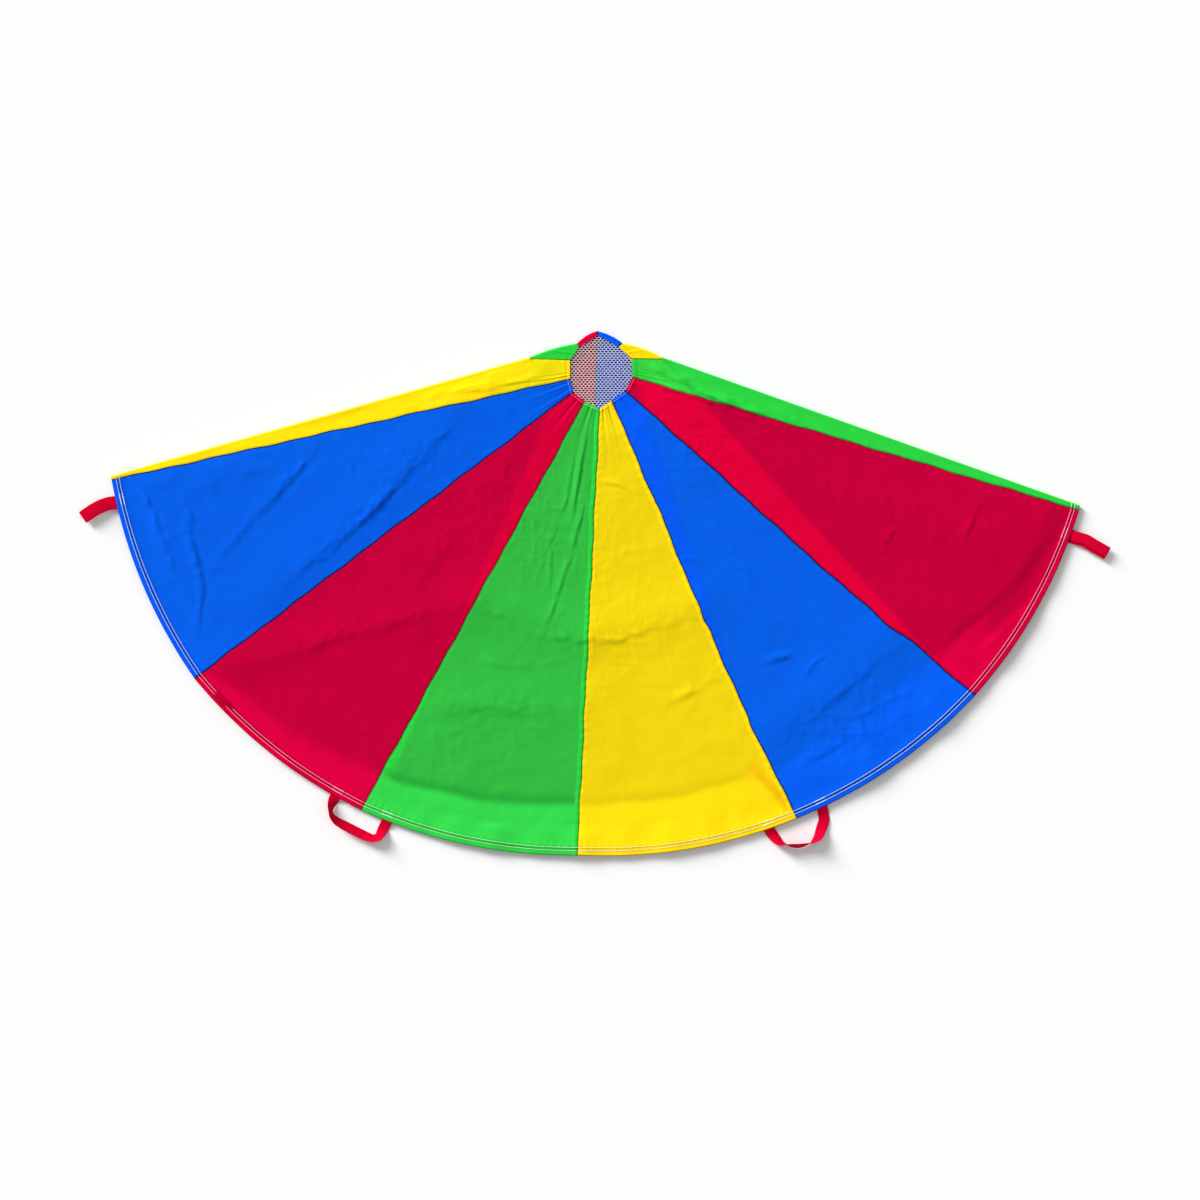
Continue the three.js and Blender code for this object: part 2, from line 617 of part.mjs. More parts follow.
// The rim point at a distance from seam k towards the neighbouring corner.
function besideSeam(k, neighbour, distance) {
  return rimArc(rim[k], rim[neighbour], distance / rim[k].distanceTo(rim[neighbour]));
}

const parachute = new THREE.Group();

function add(name, geometry, finish) {
  const mesh = new THREE.Mesh(geometry, finish);
  mesh.name = name;
  parachute.add(mesh);
  return mesh;
}

const colours = [
  ["yellow", YELLOW],
  ["blue", BLUE],
  ["red", RED],
  ["green", GREEN],
];

// Gore k lies between seam k - 1 and seam k, and gore 0 closes the circle.
function addGore(k, geometry) {
  const [name, finish] = colours[k % colours.length];
  add(`gore_${String(k + 1).padStart(2, "0")}_${name}`, geometry, finish);
}

addGore(0, sideGore(0, 11));
for (const k of [1, 2, 3, 4, 5, 6]) {
  addGore(k, upperGore(k - 1, k));
}
addGore(7, sideGore(6, 7));
for (const k of [8, 9, 10, 11]) {
  addGore(k, underGore(k - 1, k));
}
add("crown_net", crownNet(), NET);

function addHandle(name, frame, loop, tabs) {
  add(`${name}_handle`, loop, WEBBING);
  tabs.forEach((place, i) => add(`${name}_handle_tab_${i + 1}`, tab(frame, place), WEBBING));
}

// An open handle on seam k, between the neighbouring seams. The other shapes are in openLoop.
function addOpenHandle(name, k, left, right, shape) {
  const half = HANDLE_SPAN / 2;
  const [start, end] = [besideSeam(k, left, half), besideSeam(k, right, half)];
  const frame = hingeFrame(start, end);
  const halfSpan = start.distanceTo(end) / 2;
  const sewn = { level: shape.level, inward: HEM_WIDTH };
  const tabs = [-halfSpan, halfSpan].map((across) => ({ across, ...sewn }));
  addHandle(name, frame, openLoop(frame, { halfSpan, ...shape }), tabs);
}

// A doubled handle beside a fold corner: one end is sewn to the upper layer, and the other to the
// lower layer, whose rim is a little further in.
function addDoubledHandle(name, k, neighbour, setback, length) {
  const half = WEBBING_WIDTH / 2;
  const ends = [besideSeam(k, neighbour, setback - half), besideSeam(k, neighbour, setback + half)];
  const frame = hingeFrame(ends[0], ends[1]);
  const further = Math.max(0, beyondUnderRim(mix(ends[0], ends[1], 0.5)));
  const upper = { across: 0, level: UPPER_TAB_LEVEL, inward: HEM_WIDTH };
  const lower = { ...upper, level: LOWER_TAB_LEVEL, inward: HEM_WIDTH + further };
  addHandle(name, frame, doubledLoop(frame, length), [upper, lower]);
}

addDoubledHandle("left", 0, 1, LEFT_LOOP_SETBACK, LEFT_LOOP_LENGTH);
const leaning = { level: TAB_LEVEL, lean: HANDLE_LEAN, power: LEANING_POWER, depth: HANDLE_DEPTH, drawn: 0 };
addOpenHandle("front_left", 2, 1, 3, leaning);
addOpenHandle("front_right", 4, 3, 5, leaning);
addDoubledHandle("right", 6, 5, RIGHT_LOOP_SETBACK, RIGHT_LOOP_LENGTH);
const flat = { level: LOWER_TAB_LEVEL, lean: 0, power: FLAT_POWER };
addOpenHandle("under_right", 8, 9, 7, { ...flat, depth: DRAWN_DEPTH, drawn: DRAWN_ALONG });
addOpenHandle("under_left", 10, 11, 9, { ...flat, depth: HANDLE_DEPTH, drawn: 0 });

const box = new THREE.Box3().setFromObject(parachute);
const middle = box.getCenter(new THREE.Vector3());
parachute.position.set(-middle.x, -middle.y, 0);

export default parachute;
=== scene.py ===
"""Play parachute: twelve nylon gores, a crown net and six webbing handles, folded in half on a floor.

Everything is laid out in millimetres from the centre of the crown, and a finished mesh is in metres.
"""
import json
import math

import bmesh
import bpy
import numpy as np
from mathutils import Matrix, Vector, noise


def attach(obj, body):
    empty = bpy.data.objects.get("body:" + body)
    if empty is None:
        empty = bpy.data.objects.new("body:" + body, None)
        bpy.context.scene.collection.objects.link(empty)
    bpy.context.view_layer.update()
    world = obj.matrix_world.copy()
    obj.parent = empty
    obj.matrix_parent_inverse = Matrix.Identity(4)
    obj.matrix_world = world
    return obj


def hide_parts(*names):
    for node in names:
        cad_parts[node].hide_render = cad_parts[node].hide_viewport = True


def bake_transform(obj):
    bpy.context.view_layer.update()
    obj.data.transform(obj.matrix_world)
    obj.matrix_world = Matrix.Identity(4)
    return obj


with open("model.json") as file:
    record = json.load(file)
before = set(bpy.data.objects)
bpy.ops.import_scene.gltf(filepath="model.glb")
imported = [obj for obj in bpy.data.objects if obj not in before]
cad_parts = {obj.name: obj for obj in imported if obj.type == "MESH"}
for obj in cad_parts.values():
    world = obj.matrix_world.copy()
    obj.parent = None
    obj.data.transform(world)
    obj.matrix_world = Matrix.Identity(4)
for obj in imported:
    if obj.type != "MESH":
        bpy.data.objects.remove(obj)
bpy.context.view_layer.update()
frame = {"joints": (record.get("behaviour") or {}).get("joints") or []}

# The photograph
FRAME_PIXELS = 1200
MM_PER_PIXEL = 1.848
CROWN_PIXEL = (600.5, 371)
CROWN = np.array([10.28, 410.966])  # the crown's centre in the part's frame
LENS = 100
SENSOR = 36

# Canopy
CANOPY_RADIUS = 914
NET_RADIUS = 61.5
HEM = 18
RING_HEM = 8
TURN = 0.5  # radius of a turned edge
STITCH_ROWS = (8.8, 14.4)  # in from the hem edge
RING_STITCH_ROWS = (4.4,)

# How it lies
REST_LEVEL = 1.0
HEM_LEVEL = 9.2  # where the rim of the upper layer stands off the floor
HEM_WAVES = ((190, 1.1), (83, 0.7))  # length and height
LIFTED_LEVEL = 7.2
CREASE_LEVEL = 7.1
TOP_LEVEL = 9
FOLD_RADIUS = (CREASE_LEVEL - REST_LEVEL) / 2
EDGE_FLAT = 24
EDGE_RISE = 40
OVERHANG_FLAT = 27
OVERHANG_FALL = 22
LIFT_FLAT = 80
LIFT_FALL = 60
ARCH_HEIGHT = 1.6
ARCH_PITCH = 400
ARCH_FLAT_SHARE = 0.35
FLOOR_LEVEL = -0.3
LEAST_COLUMN = 0.15
LEAST_LENGTH = 1e-9  # no vector is taken as shorter

# Webbing
WEBBING_WIDTH = 20
WEBBING_THICKNESS = 1.5
HINGE_REACH = 4.5

# Seams 0 to 6 run down the upper layer from left to right, and 7 to 11 come back underneath.
RING_BEARINGS = [194, 218, 242.5, 269, 290, 322.5, 349.5, 22, 53, 94, 131.5, 160]
RING_SHARES = [0.95, 1.05, 1.02, 1.13, 0.94, 0.95, 0.98, 1.03, 0.91, 1.08, 0.97, 0.98]
RIM_BEARINGS = [192.5, 217.2, 241.4, 267.3, 293.7, 319.2, 343.8, 319.4, 292.2, 267.3, 242.9, 216.7]
RIM_SHARES = [1.013, 1.03, 1.011, 0.98, 0.988, 1.002, 1.008, 0.891, 0.882, 0.883, 0.93, 1.0]
SEAM_BOWS = [0, 0, 0, 0, 0.01, 0.014, 0, 0, 0, 0, 0, 0]
SEAM_WANDER = 1.3
SEAM_KINKS = {
    4: ((0.27, 2.5, 0.02), (0.52, -2.5, 0.02), (0.55, 2, 0.015), (0.78, -3, 0.02)),
    5: ((0.77, -1.5, 0.03), (0.84, 5, 0.035)),
}
UNDER_SWINGS = {8: 12}  # how far aside a seam of the lower layer lies just past the crease
SWING_SHARE = 0.2
CREASE_BEARINGS = {7: 12.8, 8: 52.5, 9: 95, 10: 129.9, 11: 168.8}
CREASE_SHARES = {7: 1.9, 8: 1.07, 9: 1.21, 10: 1.09, 11: 2.16}
CREASE_BULGE = 0.05


def srgb(*levels):
    """A colour written in screen levels, as light."""
    parts = [level / 255 for level in levels]
    return np.array([p / 12.92 if p <= 0.04045 else ((p + 0.055) / 1.055) ** 2.4 for p in parts])


# Each dye as it looks over a white floor, and the share of light that comes through the cloth
DYES = {
    "yellow": (srgb(255, 223, 16), 0.17),
    "blue": (srgb(7, 94, 239), 0.14),
    "red": (srgb(219, 0, 64), 0.26),
    "green": (srgb(52, 214, 76), 0.3),
}
SEAM_SHADES = {"yellow": 0.2, "blue": 0.85, "red": 0.6, "green": 0.55}
SEAM_WIDTHS = {"yellow": 1.5, "blue": 2.4, "red": 1.6, "green": 1.8}
THREADS = {
    "yellow": srgb(255, 250, 190),
    "blue": srgb(205, 230, 255),
    "red": srgb(255, 165, 205),
    "green": srgb(205, 255, 205),
}
DYE_ORDER = ["yellow", "blue", "red", "green"]
WEBBING_RED = srgb(215, 0, 48)


# Plan geometry
def polar(reach, bearing):
    angle = math.radians(bearing)
    return np.array([reach * math.cos(angle), reach * math.sin(angle)])


def mix(a, b, share):
    """Between two points or colours, or rows of them. Plain numbers use between."""
    return a + (b - a) * np.asarray(share, float)[..., None]


def between(a, b, share):
    return a + (b - a) * share


def smooth(low, high, value):
    share = np.clip((value - low) / (high - low), 0, 1)
    return share * share * (3 - 2 * share)


def bell(distance, wide):
    return np.exp(-((distance / wide) ** 2))


def cross(a, b):
    return a[..., 0] * b[..., 1] - a[..., 1] * b[..., 0]


def length_of(rows):
    """The length of a vector, or of each row."""
    return np.linalg.norm(rows, axis=-1)


def unit(rows):
    return rows / np.maximum(length_of(rows), LEAST_LENGTH)[..., None]


def beside(along):
    """A direction turned a quarter to the right."""
    return np.stack([along[..., 1], -along[..., 0]], -1)


def reach_along(line):
    """How far along a line each of its points lies."""
    return np.concatenate([[0], np.cumsum(length_of(np.diff(line, axis=0)))])


def outward(a, b, origin=(0, 0)):
    """The unit perpendicular of a line that points away from the origin."""
    across = unit(beside(b - a))
    side = np.sum(across * ((a + b) / 2 - np.asarray(origin)), -1, keepdims=True)
    return np.where(side < 0, -across, across)


def rim_arc(a, b, u):
    """A point at share u of the arc between two rim corners."""
    bow = 4 * u * (1 - u) * np.sum((b - a) ** 2, -1) / (8 * CANOPY_RADIUS)
    return mix(a, b, u) + outward(a, b) * np.asarray(bow)[..., None]


def near_line(points, line):
    """Distance from a line of points, the share along it, and the signed distance."""
    best = np.full(len(points), np.inf)
    share = np.zeros(len(points))
    signed = np.zeros(len(points))
    line = np.asarray(line, float)
    lengths = length_of(np.diff(line, axis=0))
    before = 0
    for start, end, length in zip(line[:-1], line[1:], lengths):
        along = (end - start) / length
        reach = np.clip((points - start) @ along, 0, length)
        away = points - start - reach[:, None] * along
        distance = length_of(away)
        closer = distance < best
        best = np.where(closer, distance, best)
        share = np.where(closer, (before + reach) / lengths.sum(), share)
        signed = np.where(closer, cross(along, away), signed)
        before += length
    return best, share, signed


def photo(*pixels):
    """Pixels of the photograph as points in plan."""
    return (np.array(pixels, float) - CROWN_PIXEL) * [MM_PER_PIXEL, -MM_PER_PIXEL]


ring = np.array([polar(s * NET_RADIUS, b) for s, b in zip(RING_SHARES, RING_BEARINGS)])
rim = np.array([polar(s * CANOPY_RADIUS, b) for s, b in zip(RIM_SHARES, RIM_BEARINGS)])
crease = {k: polar(CREASE_SHARES[k] * NET_RADIUS, CREASE_BEARINGS[k]) for k in CREASE_SHARES}
LEFT_TIP = polar(1.015 * CANOPY_RADIUS, 192.1)
RIGHT_TIP = polar(1.009 * CANOPY_RADIUS, 344.35)
crease_line = np.array([LEFT_TIP, *(crease[k] for k in (11, 10, 9, 8, 7)), RIGHT_TIP])

crease_normal = {
    11: outward(LEFT_TIP, crease[11], rim[3]),
    7: outward(crease[7], RIGHT_TIP, rim[3]),
}
for k in (8, 9, 10):
    crease_normal[k] = unit(outward(crease[k - 1], crease[k]) + outward(crease[k], crease[k + 1]))
crease_base = {k: crease[k] - FOLD_RADIUS * crease_normal[k] for k in crease}


def rim_line(seams):
    corners = [LEFT_TIP, *(rim[k] for k in seams), RIGHT_TIP]
    line = [corners[0]]
    for a, b in zip(corners[:-1], corners[1:]):
        line += [rim_arc(a, b, 0.5), b]
    return np.array(line)


upper_rim = rim_line([0, 1, 2, 3, 4, 5, 6])
under_rim = rim_line([11, 10, 9, 8, 7])


def beyond_under_rim(points):
    """How far points lie beyond the lower layer's rim, seen from the crown."""
    reach = np.zeros(len(points))
    for start, end in zip(under_rim[:-1], under_rim[1:]):
        before, after = cross(start, points), cross(end, points)
        hits = (before * after <= 0) & (points @ (start + end) > 0)
        share = before / np.where(before == after, 1, before - after)
        there = length_of(start + (end - start) * share[:, None])
        reach = np.where(hits, np.maximum(reach, there), reach)
    reach = np.where(reach == 0, min(length_of(LEFT_TIP), length_of(RIGHT_TIP)), reach)
    return length_of(points) - reach


# How the upper layer lies

# Long soft folds: ends by reach share and bearing, and a height share
WAVE_HEIGHT = 3
WAVE_WIDTH = 42
WAVES = [
    ((0.93, 219), (0.55, 239), 0.9),
    ((0.83, 214), (0.3, 194), 0.8),
    ((0.53, 241), (0.53, 267.5), 1),
    ((0.53, 267.5), (0.51, 293), 0.9),
    ((0.8, 297), (0.79, 317.5), 1),
    ((0.73, 246), (0.69, 265.5), 0.7),
    ((0.35, 330), (0.85, 336), 0.6),
]

# Creases by the photograph's pixels, with height and half width in millimetres. Each is a ridge
# that falls gently toward the upper left of the picture and steeply toward the lower right.
CREASES = [
    ([(456, 419), (381, 501), (330, 548), (289, 580)], 2.2, 8),
    ([(440, 446), (372, 512), (322, 560)], 1.1, 5),
    ([(321, 441), (292, 478), (267, 509)], 1.8, 8),
    ([(349, 464), (358, 480)], 1.4, 5),
    ([(300, 470), (250, 520), (214, 566)], 1.0, 9),
    ([(180, 500), (230, 480), (300, 450)], 0.9, 12),
    ([(183, 503), (191, 519), (189, 534), (197, 563), (201, 590), (198, 636)], 2.6, 6),
    ([(131, 479), (147, 498), (155, 519), (167, 550), (178, 575)], 2.8, 5),
    ([(242, 666), (350, 634), (460, 605)], 1.6, 13),
    ([(521, 441), (470, 520), (400, 600)], 1.0, 16),
    ([(330, 700), (372, 742), (392, 760)], 0.8, 12),
    ([(590, 480), (570, 560), (543, 634)], 1.7, 4),
    ([(577, 440), (566, 500), (536, 580)], 1.1, 4),
    ([(560, 500), (552, 540), (549, 594)], 1.0, 4),
    ([(586, 430), (580, 470), (572, 520)], 1.8, 4),
    ([(478, 605), (494, 612), (510, 626)], 1.4, 5),
    ([(528, 634), (575, 641), (620, 640), (656, 626), (696, 616)], 1.9, 7),
    ([(430, 712), (500, 706), (574, 709)], 1.5, 14),
    ([(466, 662), (520, 668), (560, 660)], 0.9, 8),
    ([(595, 480), (618, 484), (640, 495)], 1.1, 4),
    ([(724, 673), (700, 688), (667, 705)], 1.4, 9),
    ([(600, 560), (640, 548), (668, 552)], 0.8, 6),
    ([(899, 644), (845, 690), (789, 737)], 1.2, 8),
    ([(846, 737), (822, 752), (799, 769)], 1.6, 7),
    ([(764, 662), (789, 655), (810, 673)], 2.8, 6),
    ([(826, 655), (812, 664), (806, 679)], 2.2, 5),
    ([(843, 700), (858, 716), (866, 738)], 1.4, 5),
    ([(820, 716), (838, 730), (852, 752)], 1.3, 5),
    ([(681, 559), (692, 560), (703, 569)], 1.2, 4),
    ([(860, 716), (880, 706), (903, 694)], 1.2, 6),
    ([(700, 500), (760, 600), (800, 640)], 0.9, 12),
    ([(885, 487), (892, 530), (874, 562)], 1.3, 6),
    ([(980, 501), (972, 522), (964, 541)], 1.2, 5),
    ([(822, 473), (828, 492), (830, 508)], 1.2, 5),
    ([(760, 440), (860, 500), (930, 560)], 0.9, 14),
    ([(642, 362), (690, 384), (739, 409), (774, 416)], 3.6, 6),
    ([(774, 409), (790, 418), (803, 426)], 1.5, 5),
    ([(849, 428), (860, 438), (871, 448)], 1.3, 5),
    ([(650, 386), (700, 398), (760, 424)], 2.4, 5),
    ([(560, 372), (500, 386), (430, 398)], 1.8, 6),
    ([(545, 364), (480, 384), (400, 404)], 0.8, 6),
]
CREASE_STRENGTH = 0.9
CREASE_SHARPNESS = 0.8
CREASE_ENDS = (0.03, 0.97)  # the shares of its length between which a crease rises and falls
CREASE_TAPER = 0.7
GENTLE = 2.2
UPPER_LEFT = np.array([-1, 1])
HOLLOW_ASIDE = 1.5  # in half widths, as the next
HOLLOW_REACH = 4
HOLLOW_SHARE = 0.3
WIDE_CREASE = 8  # the half width from which a crease wanders in full

# Layers of lumps: length, height and seed
UNEVENNESS = ((90, 0.7, 1), (38, 0.34, 2), (17, 0.16, 3), (9, 0.07, 4))
CREASE_WANDER = ((34, 4.5, 5), (13, 2, 6))
CREASE_BREAKS = ((26, 0.7, 7), (11, 0.4, 8))
BREAKS_MEAN = 0.75
BREAKS_MOST = 1.4
NOISE_CELLS = 256
CORNERS = ((0, 0), (1, 0), (0, 1), (1, 1))

# Where the cloth is crumpled, and how far it lies calm
CRUMPLED = [  # pixel of the photograph, reach and height
    ((866, 733), 130, 0.8), ((175, 565), 110, 0.5), ((400, 470), 150, 0.35), ((545, 520), 120, 0.5),
    ((620, 640), 130, 0.35), ((700, 440), 110, 0.5), ((930, 520), 130, 0.4), ((470, 760), 140, 0.4),
]
CRUMPLE_LENGTHS = (46, 27, 19)
CRUMPLE_SHARPNESS = 4
CRUMPLE_SEED = 20
CROWN_CALM = 50
FOLD_CALM = 12
HEM_CALM = 0.35  # the share of its relief that the cloth keeps at the rim
HEM_CALM_REACH = 3 * HEM


def wave_at(points):
    height = np.zeros(len(points))
    for start, end, share in WAVES:
        line = [polar(start[0] * CANOPY_RADIUS, start[1]), polar(end[0] * CANOPY_RADIUS, end[1])]
        height += share * WAVE_HEIGHT * bell(near_line(points, line)[0], WAVE_WIDTH)
    return height


def upper_level(points):
    """Height of the upper layer, before its creases."""
    handle = np.minimum(*(length_of(points - rim[k]) for k in (2, 4)))
    bearing = CANOPY_RADIUS * np.arctan2(points[:, 1], points[:, 0])
    standing = HEM_LEVEL + sum(tall * np.sin(bearing / length * 2 * np.pi) for length, tall in HEM_WAVES)
    fallen = between(LIFTED_LEVEL, standing, smooth(LIFT_FLAT, LIFT_FLAT + LIFT_FALL, handle))
    beyond = beyond_under_rim(points)
    edge = between(CREASE_LEVEL, fallen, smooth(OVERHANG_FLAT, OVERHANG_FLAT + OVERHANG_FALL, beyond))
    crown = smooth(NET_RADIUS + EDGE_FLAT, NET_RADIUS + EDGE_FLAT + EDGE_RISE, length_of(points))
    fold = smooth(2 * FOLD_RADIUS, EDGE_RISE, near_line(points, crease_line)[0])
    opened = CREASE_LEVEL + (TOP_LEVEL + wave_at(points) - CREASE_LEVEL) * np.minimum(crown, fold)
    inside = smooth(EDGE_FLAT, EDGE_FLAT + EDGE_RISE, near_line(points, upper_rim)[0])
    return between(edge, opened, inside)


def under_level(points):
    rise = np.sin(np.pi * length_of(points) / ARCH_PITCH) ** 2
    arch = ARCH_HEIGHT * np.maximum(0, rise - ARCH_FLAT_SHARE) / (1 - ARCH_FLAT_SHARE)
    fold = smooth(2 * FOLD_RADIUS, EDGE_RISE, near_line(points, crease_line)[0])
    hem = smooth(EDGE_FLAT, EDGE_FLAT + EDGE_RISE, near_line(points, under_rim)[0])
    return between(REST_LEVEL, REST_LEVEL / 2 + arch, np.minimum(fold, hem))


def uneven(points, length, seed):
    """Smooth noise from -1 to 1, with lumps of about the given length."""
    lattice = np.random.default_rng(seed).uniform(-1, 1, (NOISE_CELLS, NOISE_CELLS))
    place = points / length
    cell = np.floor(place).astype(int)
    share = place - cell
    share = share**3 * (share * (6 * share - 15) + 10)
    corner = [lattice[(cell[:, 0] + i) % NOISE_CELLS, (cell[:, 1] + j) % NOISE_CELLS] for i, j in CORNERS]
    low = between(corner[0], corner[1], share[:, 0])
    return between(low, between(corner[2], corner[3], share[:, 0]), share[:, 1])


def lumps(points, layers):
    return sum(tall * uneven(points, length, seed) for length, tall, seed in layers)


def relief(points):
    """Creases and unevenness of the upper layer."""
    height = lumps(points, UNEVENNESS)
    wander = lumps(points, CREASE_WANDER)
    broken = np.clip(BREAKS_MEAN + lumps(points, CREASE_BREAKS), 0, BREAKS_MOST)
    for pixels, tall, wide in CREASES:
        line = photo(*pixels)
        distance, share, signed = near_line(points, line)
        beyond = np.maximum(distance**2 - signed**2, 0)
        aside = signed + wander * min(1, (wide / WIDE_CREASE) ** 2)
        moved = aside * np.sign(cross(line[-1] - line[0], UPPER_LEFT))
        slope = np.where(moved > 0, moved / GENTLE, moved)
        taper = np.sin(np.pi * np.clip(share, *CREASE_ENDS)) ** CREASE_TAPER
        hollow = bell(moved + HOLLOW_ASIDE * wide, wide) * (distance < HOLLOW_REACH * wide)
        ridge = bell(np.sqrt(beyond + slope**2), CREASE_SHARPNESS * wide)
        height += CREASE_STRENGTH * tall * taper * broken * (ridge - HOLLOW_SHARE * hollow)
    folds = [1 - np.abs(uneven(points, length, CRUMPLE_SEED + length)) for length in CRUMPLE_LENGTHS]
    crumple = sum(fold**CRUMPLE_SHARPNESS for fold in folds)
    for pixel, reach, tall in CRUMPLED:
        height += tall * bell(length_of(points - photo(pixel)[0]), reach) * crumple
    crown = smooth(NET_RADIUS, NET_RADIUS + CROWN_CALM, length_of(points))
    fold = smooth(FOLD_RADIUS, FOLD_CALM, near_line(points, crease_line)[0])
    hem = between(HEM_CALM, 1, smooth(HEM, HEM_CALM_REACH, near_line(points, upper_rim)[0]))
    return height * crown * fold * hem


# What shows through the cloth, as light and shade painted into its colour
UNDER_SEAMS = [11, 10, 9, 8, 7]
UNDER_DYES = ["yellow", "green", "red", "blue", "yellow", "green"]  # from left to right
UNDER_SEAM_SHADE = 0.5
SHARPNESS = 4
RIM_BLUR = 16
RIM_WANDER = ((40, 3, 9),)
NET_SHADE = 0.55  # painted shade of the net: how much darker the cloth that shows through it lies
HIDDEN_STRAP = ((752, 768), (776, 790), (789, 808))
HEM_SHOWS = ((376, 794), (752, 776))  # the lower hem shows between these places
HEM_FADE = 30
HEM_BLUR = 9
HEM_CLOSENESS = 0.4
HEM_SHADES = (0.85, 0.45)  # how dark it shows on the green gore and on the yellow one
HEM_SHADE_TURNS = (-60, -20)  # between these places across the canopy
TIP_HEM_SHADE = 0.95
TIP_HEM = (310, 400)  # the lower hem shows sharply as far as this from the right tip
TIP_SHADE = (240, 340)  # painted shade lies on the floor as far as this from the right tip
# How light the floor stays in that painted shade
FLOOR_IN_SHADE = 0.1
STRAP_BLUR = 8
STRAP_CLOSENESS = 0.65
STRAP_WANDER = ((22, 3, 10),)


def beneath(points):
    """The colour of what lies under the upper layer: the lower layer, its hem, or the floor, which lies in
    painted shade near the right tip.
    """
    colour = np.tile(DYES[UNDER_DYES[0]][0], (len(points), 1))
    for k, dye in zip(UNDER_SEAMS, UNDER_DYES[1:]):
        side = cross(unit(rim[k] - crease[k]), points - crease[k])
        colour = mix(colour, DYES[dye][0], smooth(-SHARPNESS, SHARPNESS, side))
        colour = colour * (1 - UNDER_SEAM_SHADE * bell(side, SHARPNESS))[:, None]
    beyond = beyond_under_rim(points) + lumps(points, RIM_WANDER)
    from_tip = length_of(points - RIGHT_TIP)
    tip = 1 - smooth(*TIP_SHADE, from_tip)
    tip_hem = 1 - smooth(*TIP_HEM, from_tip)
    blur = between(HEM_BLUR, SHARPNESS, tip_hem)
    hem = smooth(-HEM - blur, -HEM + blur, beyond) * (1 - smooth(-blur, blur, beyond))
    (left, _), (right, _) = photo(*HEM_SHOWS)
    x = points[:, 0]
    pressed = smooth(left, left + HEM_FADE, x) * (1 - smooth(right - HEM_FADE, right, x))
    pressed = np.maximum(pressed, tip_hem)
    hem_shade = between(*HEM_SHADES, smooth(*HEM_SHADE_TURNS, x))
    colour = colour * (1 - between(hem_shade, TIP_HEM_SHADE, tip_hem) * hem * pressed)[:, None]
    blurred = between(RIM_BLUR, blur, pressed)
    # Painted shade on the floor near the right tip
    shaded = mix(np.ones(3), np.full(3, FLOOR_IN_SHADE), tip)
    colour = mix(colour, shaded, smooth(-blurred, blurred, beyond))
    strap = near_line(points, photo(*HIDDEN_STRAP))[0] + lumps(points, STRAP_WANDER)
    webbing = 1 - smooth(WEBBING_WIDTH / 2 - STRAP_BLUR, WEBBING_WIDTH / 2 + STRAP_BLUR, strap)
    return mix(colour, WEBBING_RED, webbing), 1 + STRAP_CLOSENESS * webbing + HEM_CLOSENESS * hem * pressed


def shine_through(dye, behind, closeness=1):
    """The colour of cloth over something, with the light that comes up through it painted in. Closeness is
    more than 1 where that presses against it.
    """
    colour, share = DYES[dye]
    share = np.asarray(share * closeness)[..., None]
    return colour * (1 - share + share * behind)


# Shading
class Value:
    """A socket that takes part in plain arithmetic."""

    def __init__(self, material, socket):
        self.material = material
        self.socket = socket

    def maths(self, operation, *values):
        return self.material.add("ShaderNodeMath", {"operation": operation}, dict(enumerate(values)))

    def __add__(self, other):
        return self.maths("ADD", self, other)

    def __sub__(self, other):
        return self.maths("SUBTRACT", self, other)

    def __mul__(self, other):
        return self.maths("MULTIPLY", self, other)

    def __rsub__(self, other):
        return self.maths("SUBTRACT", other, self)

    def __truediv__(self, other):
        return self.maths("DIVIDE", self, other)

    __radd__ = __add__
    __rmul__ = __mul__

    def sine(self):
        return self.maths("SINE", self)

    def wave(self, pitch):
        return (self * (2 * math.pi / pitch)).sine()

    def largest(self, other):
        return self.maths("MAXIMUM", self, other)

    def least(self, other):
        return self.maths("MINIMUM", self, other)

    def size(self):
        return self.maths("ABSOLUTE", self)

    def clamped(self):
        return self.largest(0).least(1)

    def under(self, limit, softness):
        """1 where this lies well below a limit, and 0 well above it."""
        return ((limit - self) / softness + 0.5).clamped()


class Material:
    """A principled surface whose constants are set on its own sockets."""

    def __init__(self, name, **constants):
        self.data = bpy.data.materials.new(name)
        self.data.use_nodes = True
        self.tree = self.data.node_tree
        self.surface = self.tree.nodes["Principled BSDF"]
        for socket, value in constants.items():
            self.surface.inputs[socket.replace("_", " ").title().replace("Ior", "IOR")].default_value = value

    def add(self, kind, settings=None, values=None, output=0):
        node = self.tree.nodes.new(kind)
        for name, value in (settings or {}).items():
            setattr(node, name, value)
        for name, value in (values or {}).items():
            self.feed(node.inputs[name], value)
        return Value(self, node.outputs[output])

    def feed(self, socket, value):
        if isinstance(value, Value):
            self.tree.links.new(value.socket, socket)
        else:
            socket.default_value = value

    def finish(self, colour, roughness, height, distance):
        bump = self.add("ShaderNodeBump", {}, {"Height": height, "Distance": distance, "Strength": 1})
        self.feed(self.surface.inputs["Base Color"], colour)
        self.feed(self.surface.inputs["Roughness"], roughness)
        self.feed(self.surface.inputs["Normal"], bump)
        return self.data

    def attribute(self, name, output="Fac"):
        return self.add("ShaderNodeAttribute", {"attribute_name": name}, {}, output)

    def flat_place(self, name):
        """A UV map's place, and its two parts."""
        place = self.add("ShaderNodeUVMap", {"uv_map": name})
        return place, *(self.add("ShaderNodeSeparateXYZ", {}, {0: place}, part) for part in "XY")

    def noise(self, where, scale, detail=2, kind="FBM"):
        values = {"Vector": where, "Scale": scale, "Detail": detail}
        return self.add("ShaderNodeTexNoise", {"noise_type": kind}, values, "Fac")

    def tint(self, colour, factor):
        """A colour made lighter or darker by a number."""
        values = {0: colour if isinstance(colour, Value) else colour[:3], "Scale": factor}
        return self.add("ShaderNodeVectorMath", {"operation": "SCALE"}, values)

    def blend(self, a, b, share):
        values = {"Factor": share, 6: a, 7: b}
        return self.add("ShaderNodeMix", {"data_type": "RGBA"}, values, 2)


def weighed(weights, parts):
    return sum(weight * part for weight, part in zip(weights, parts))


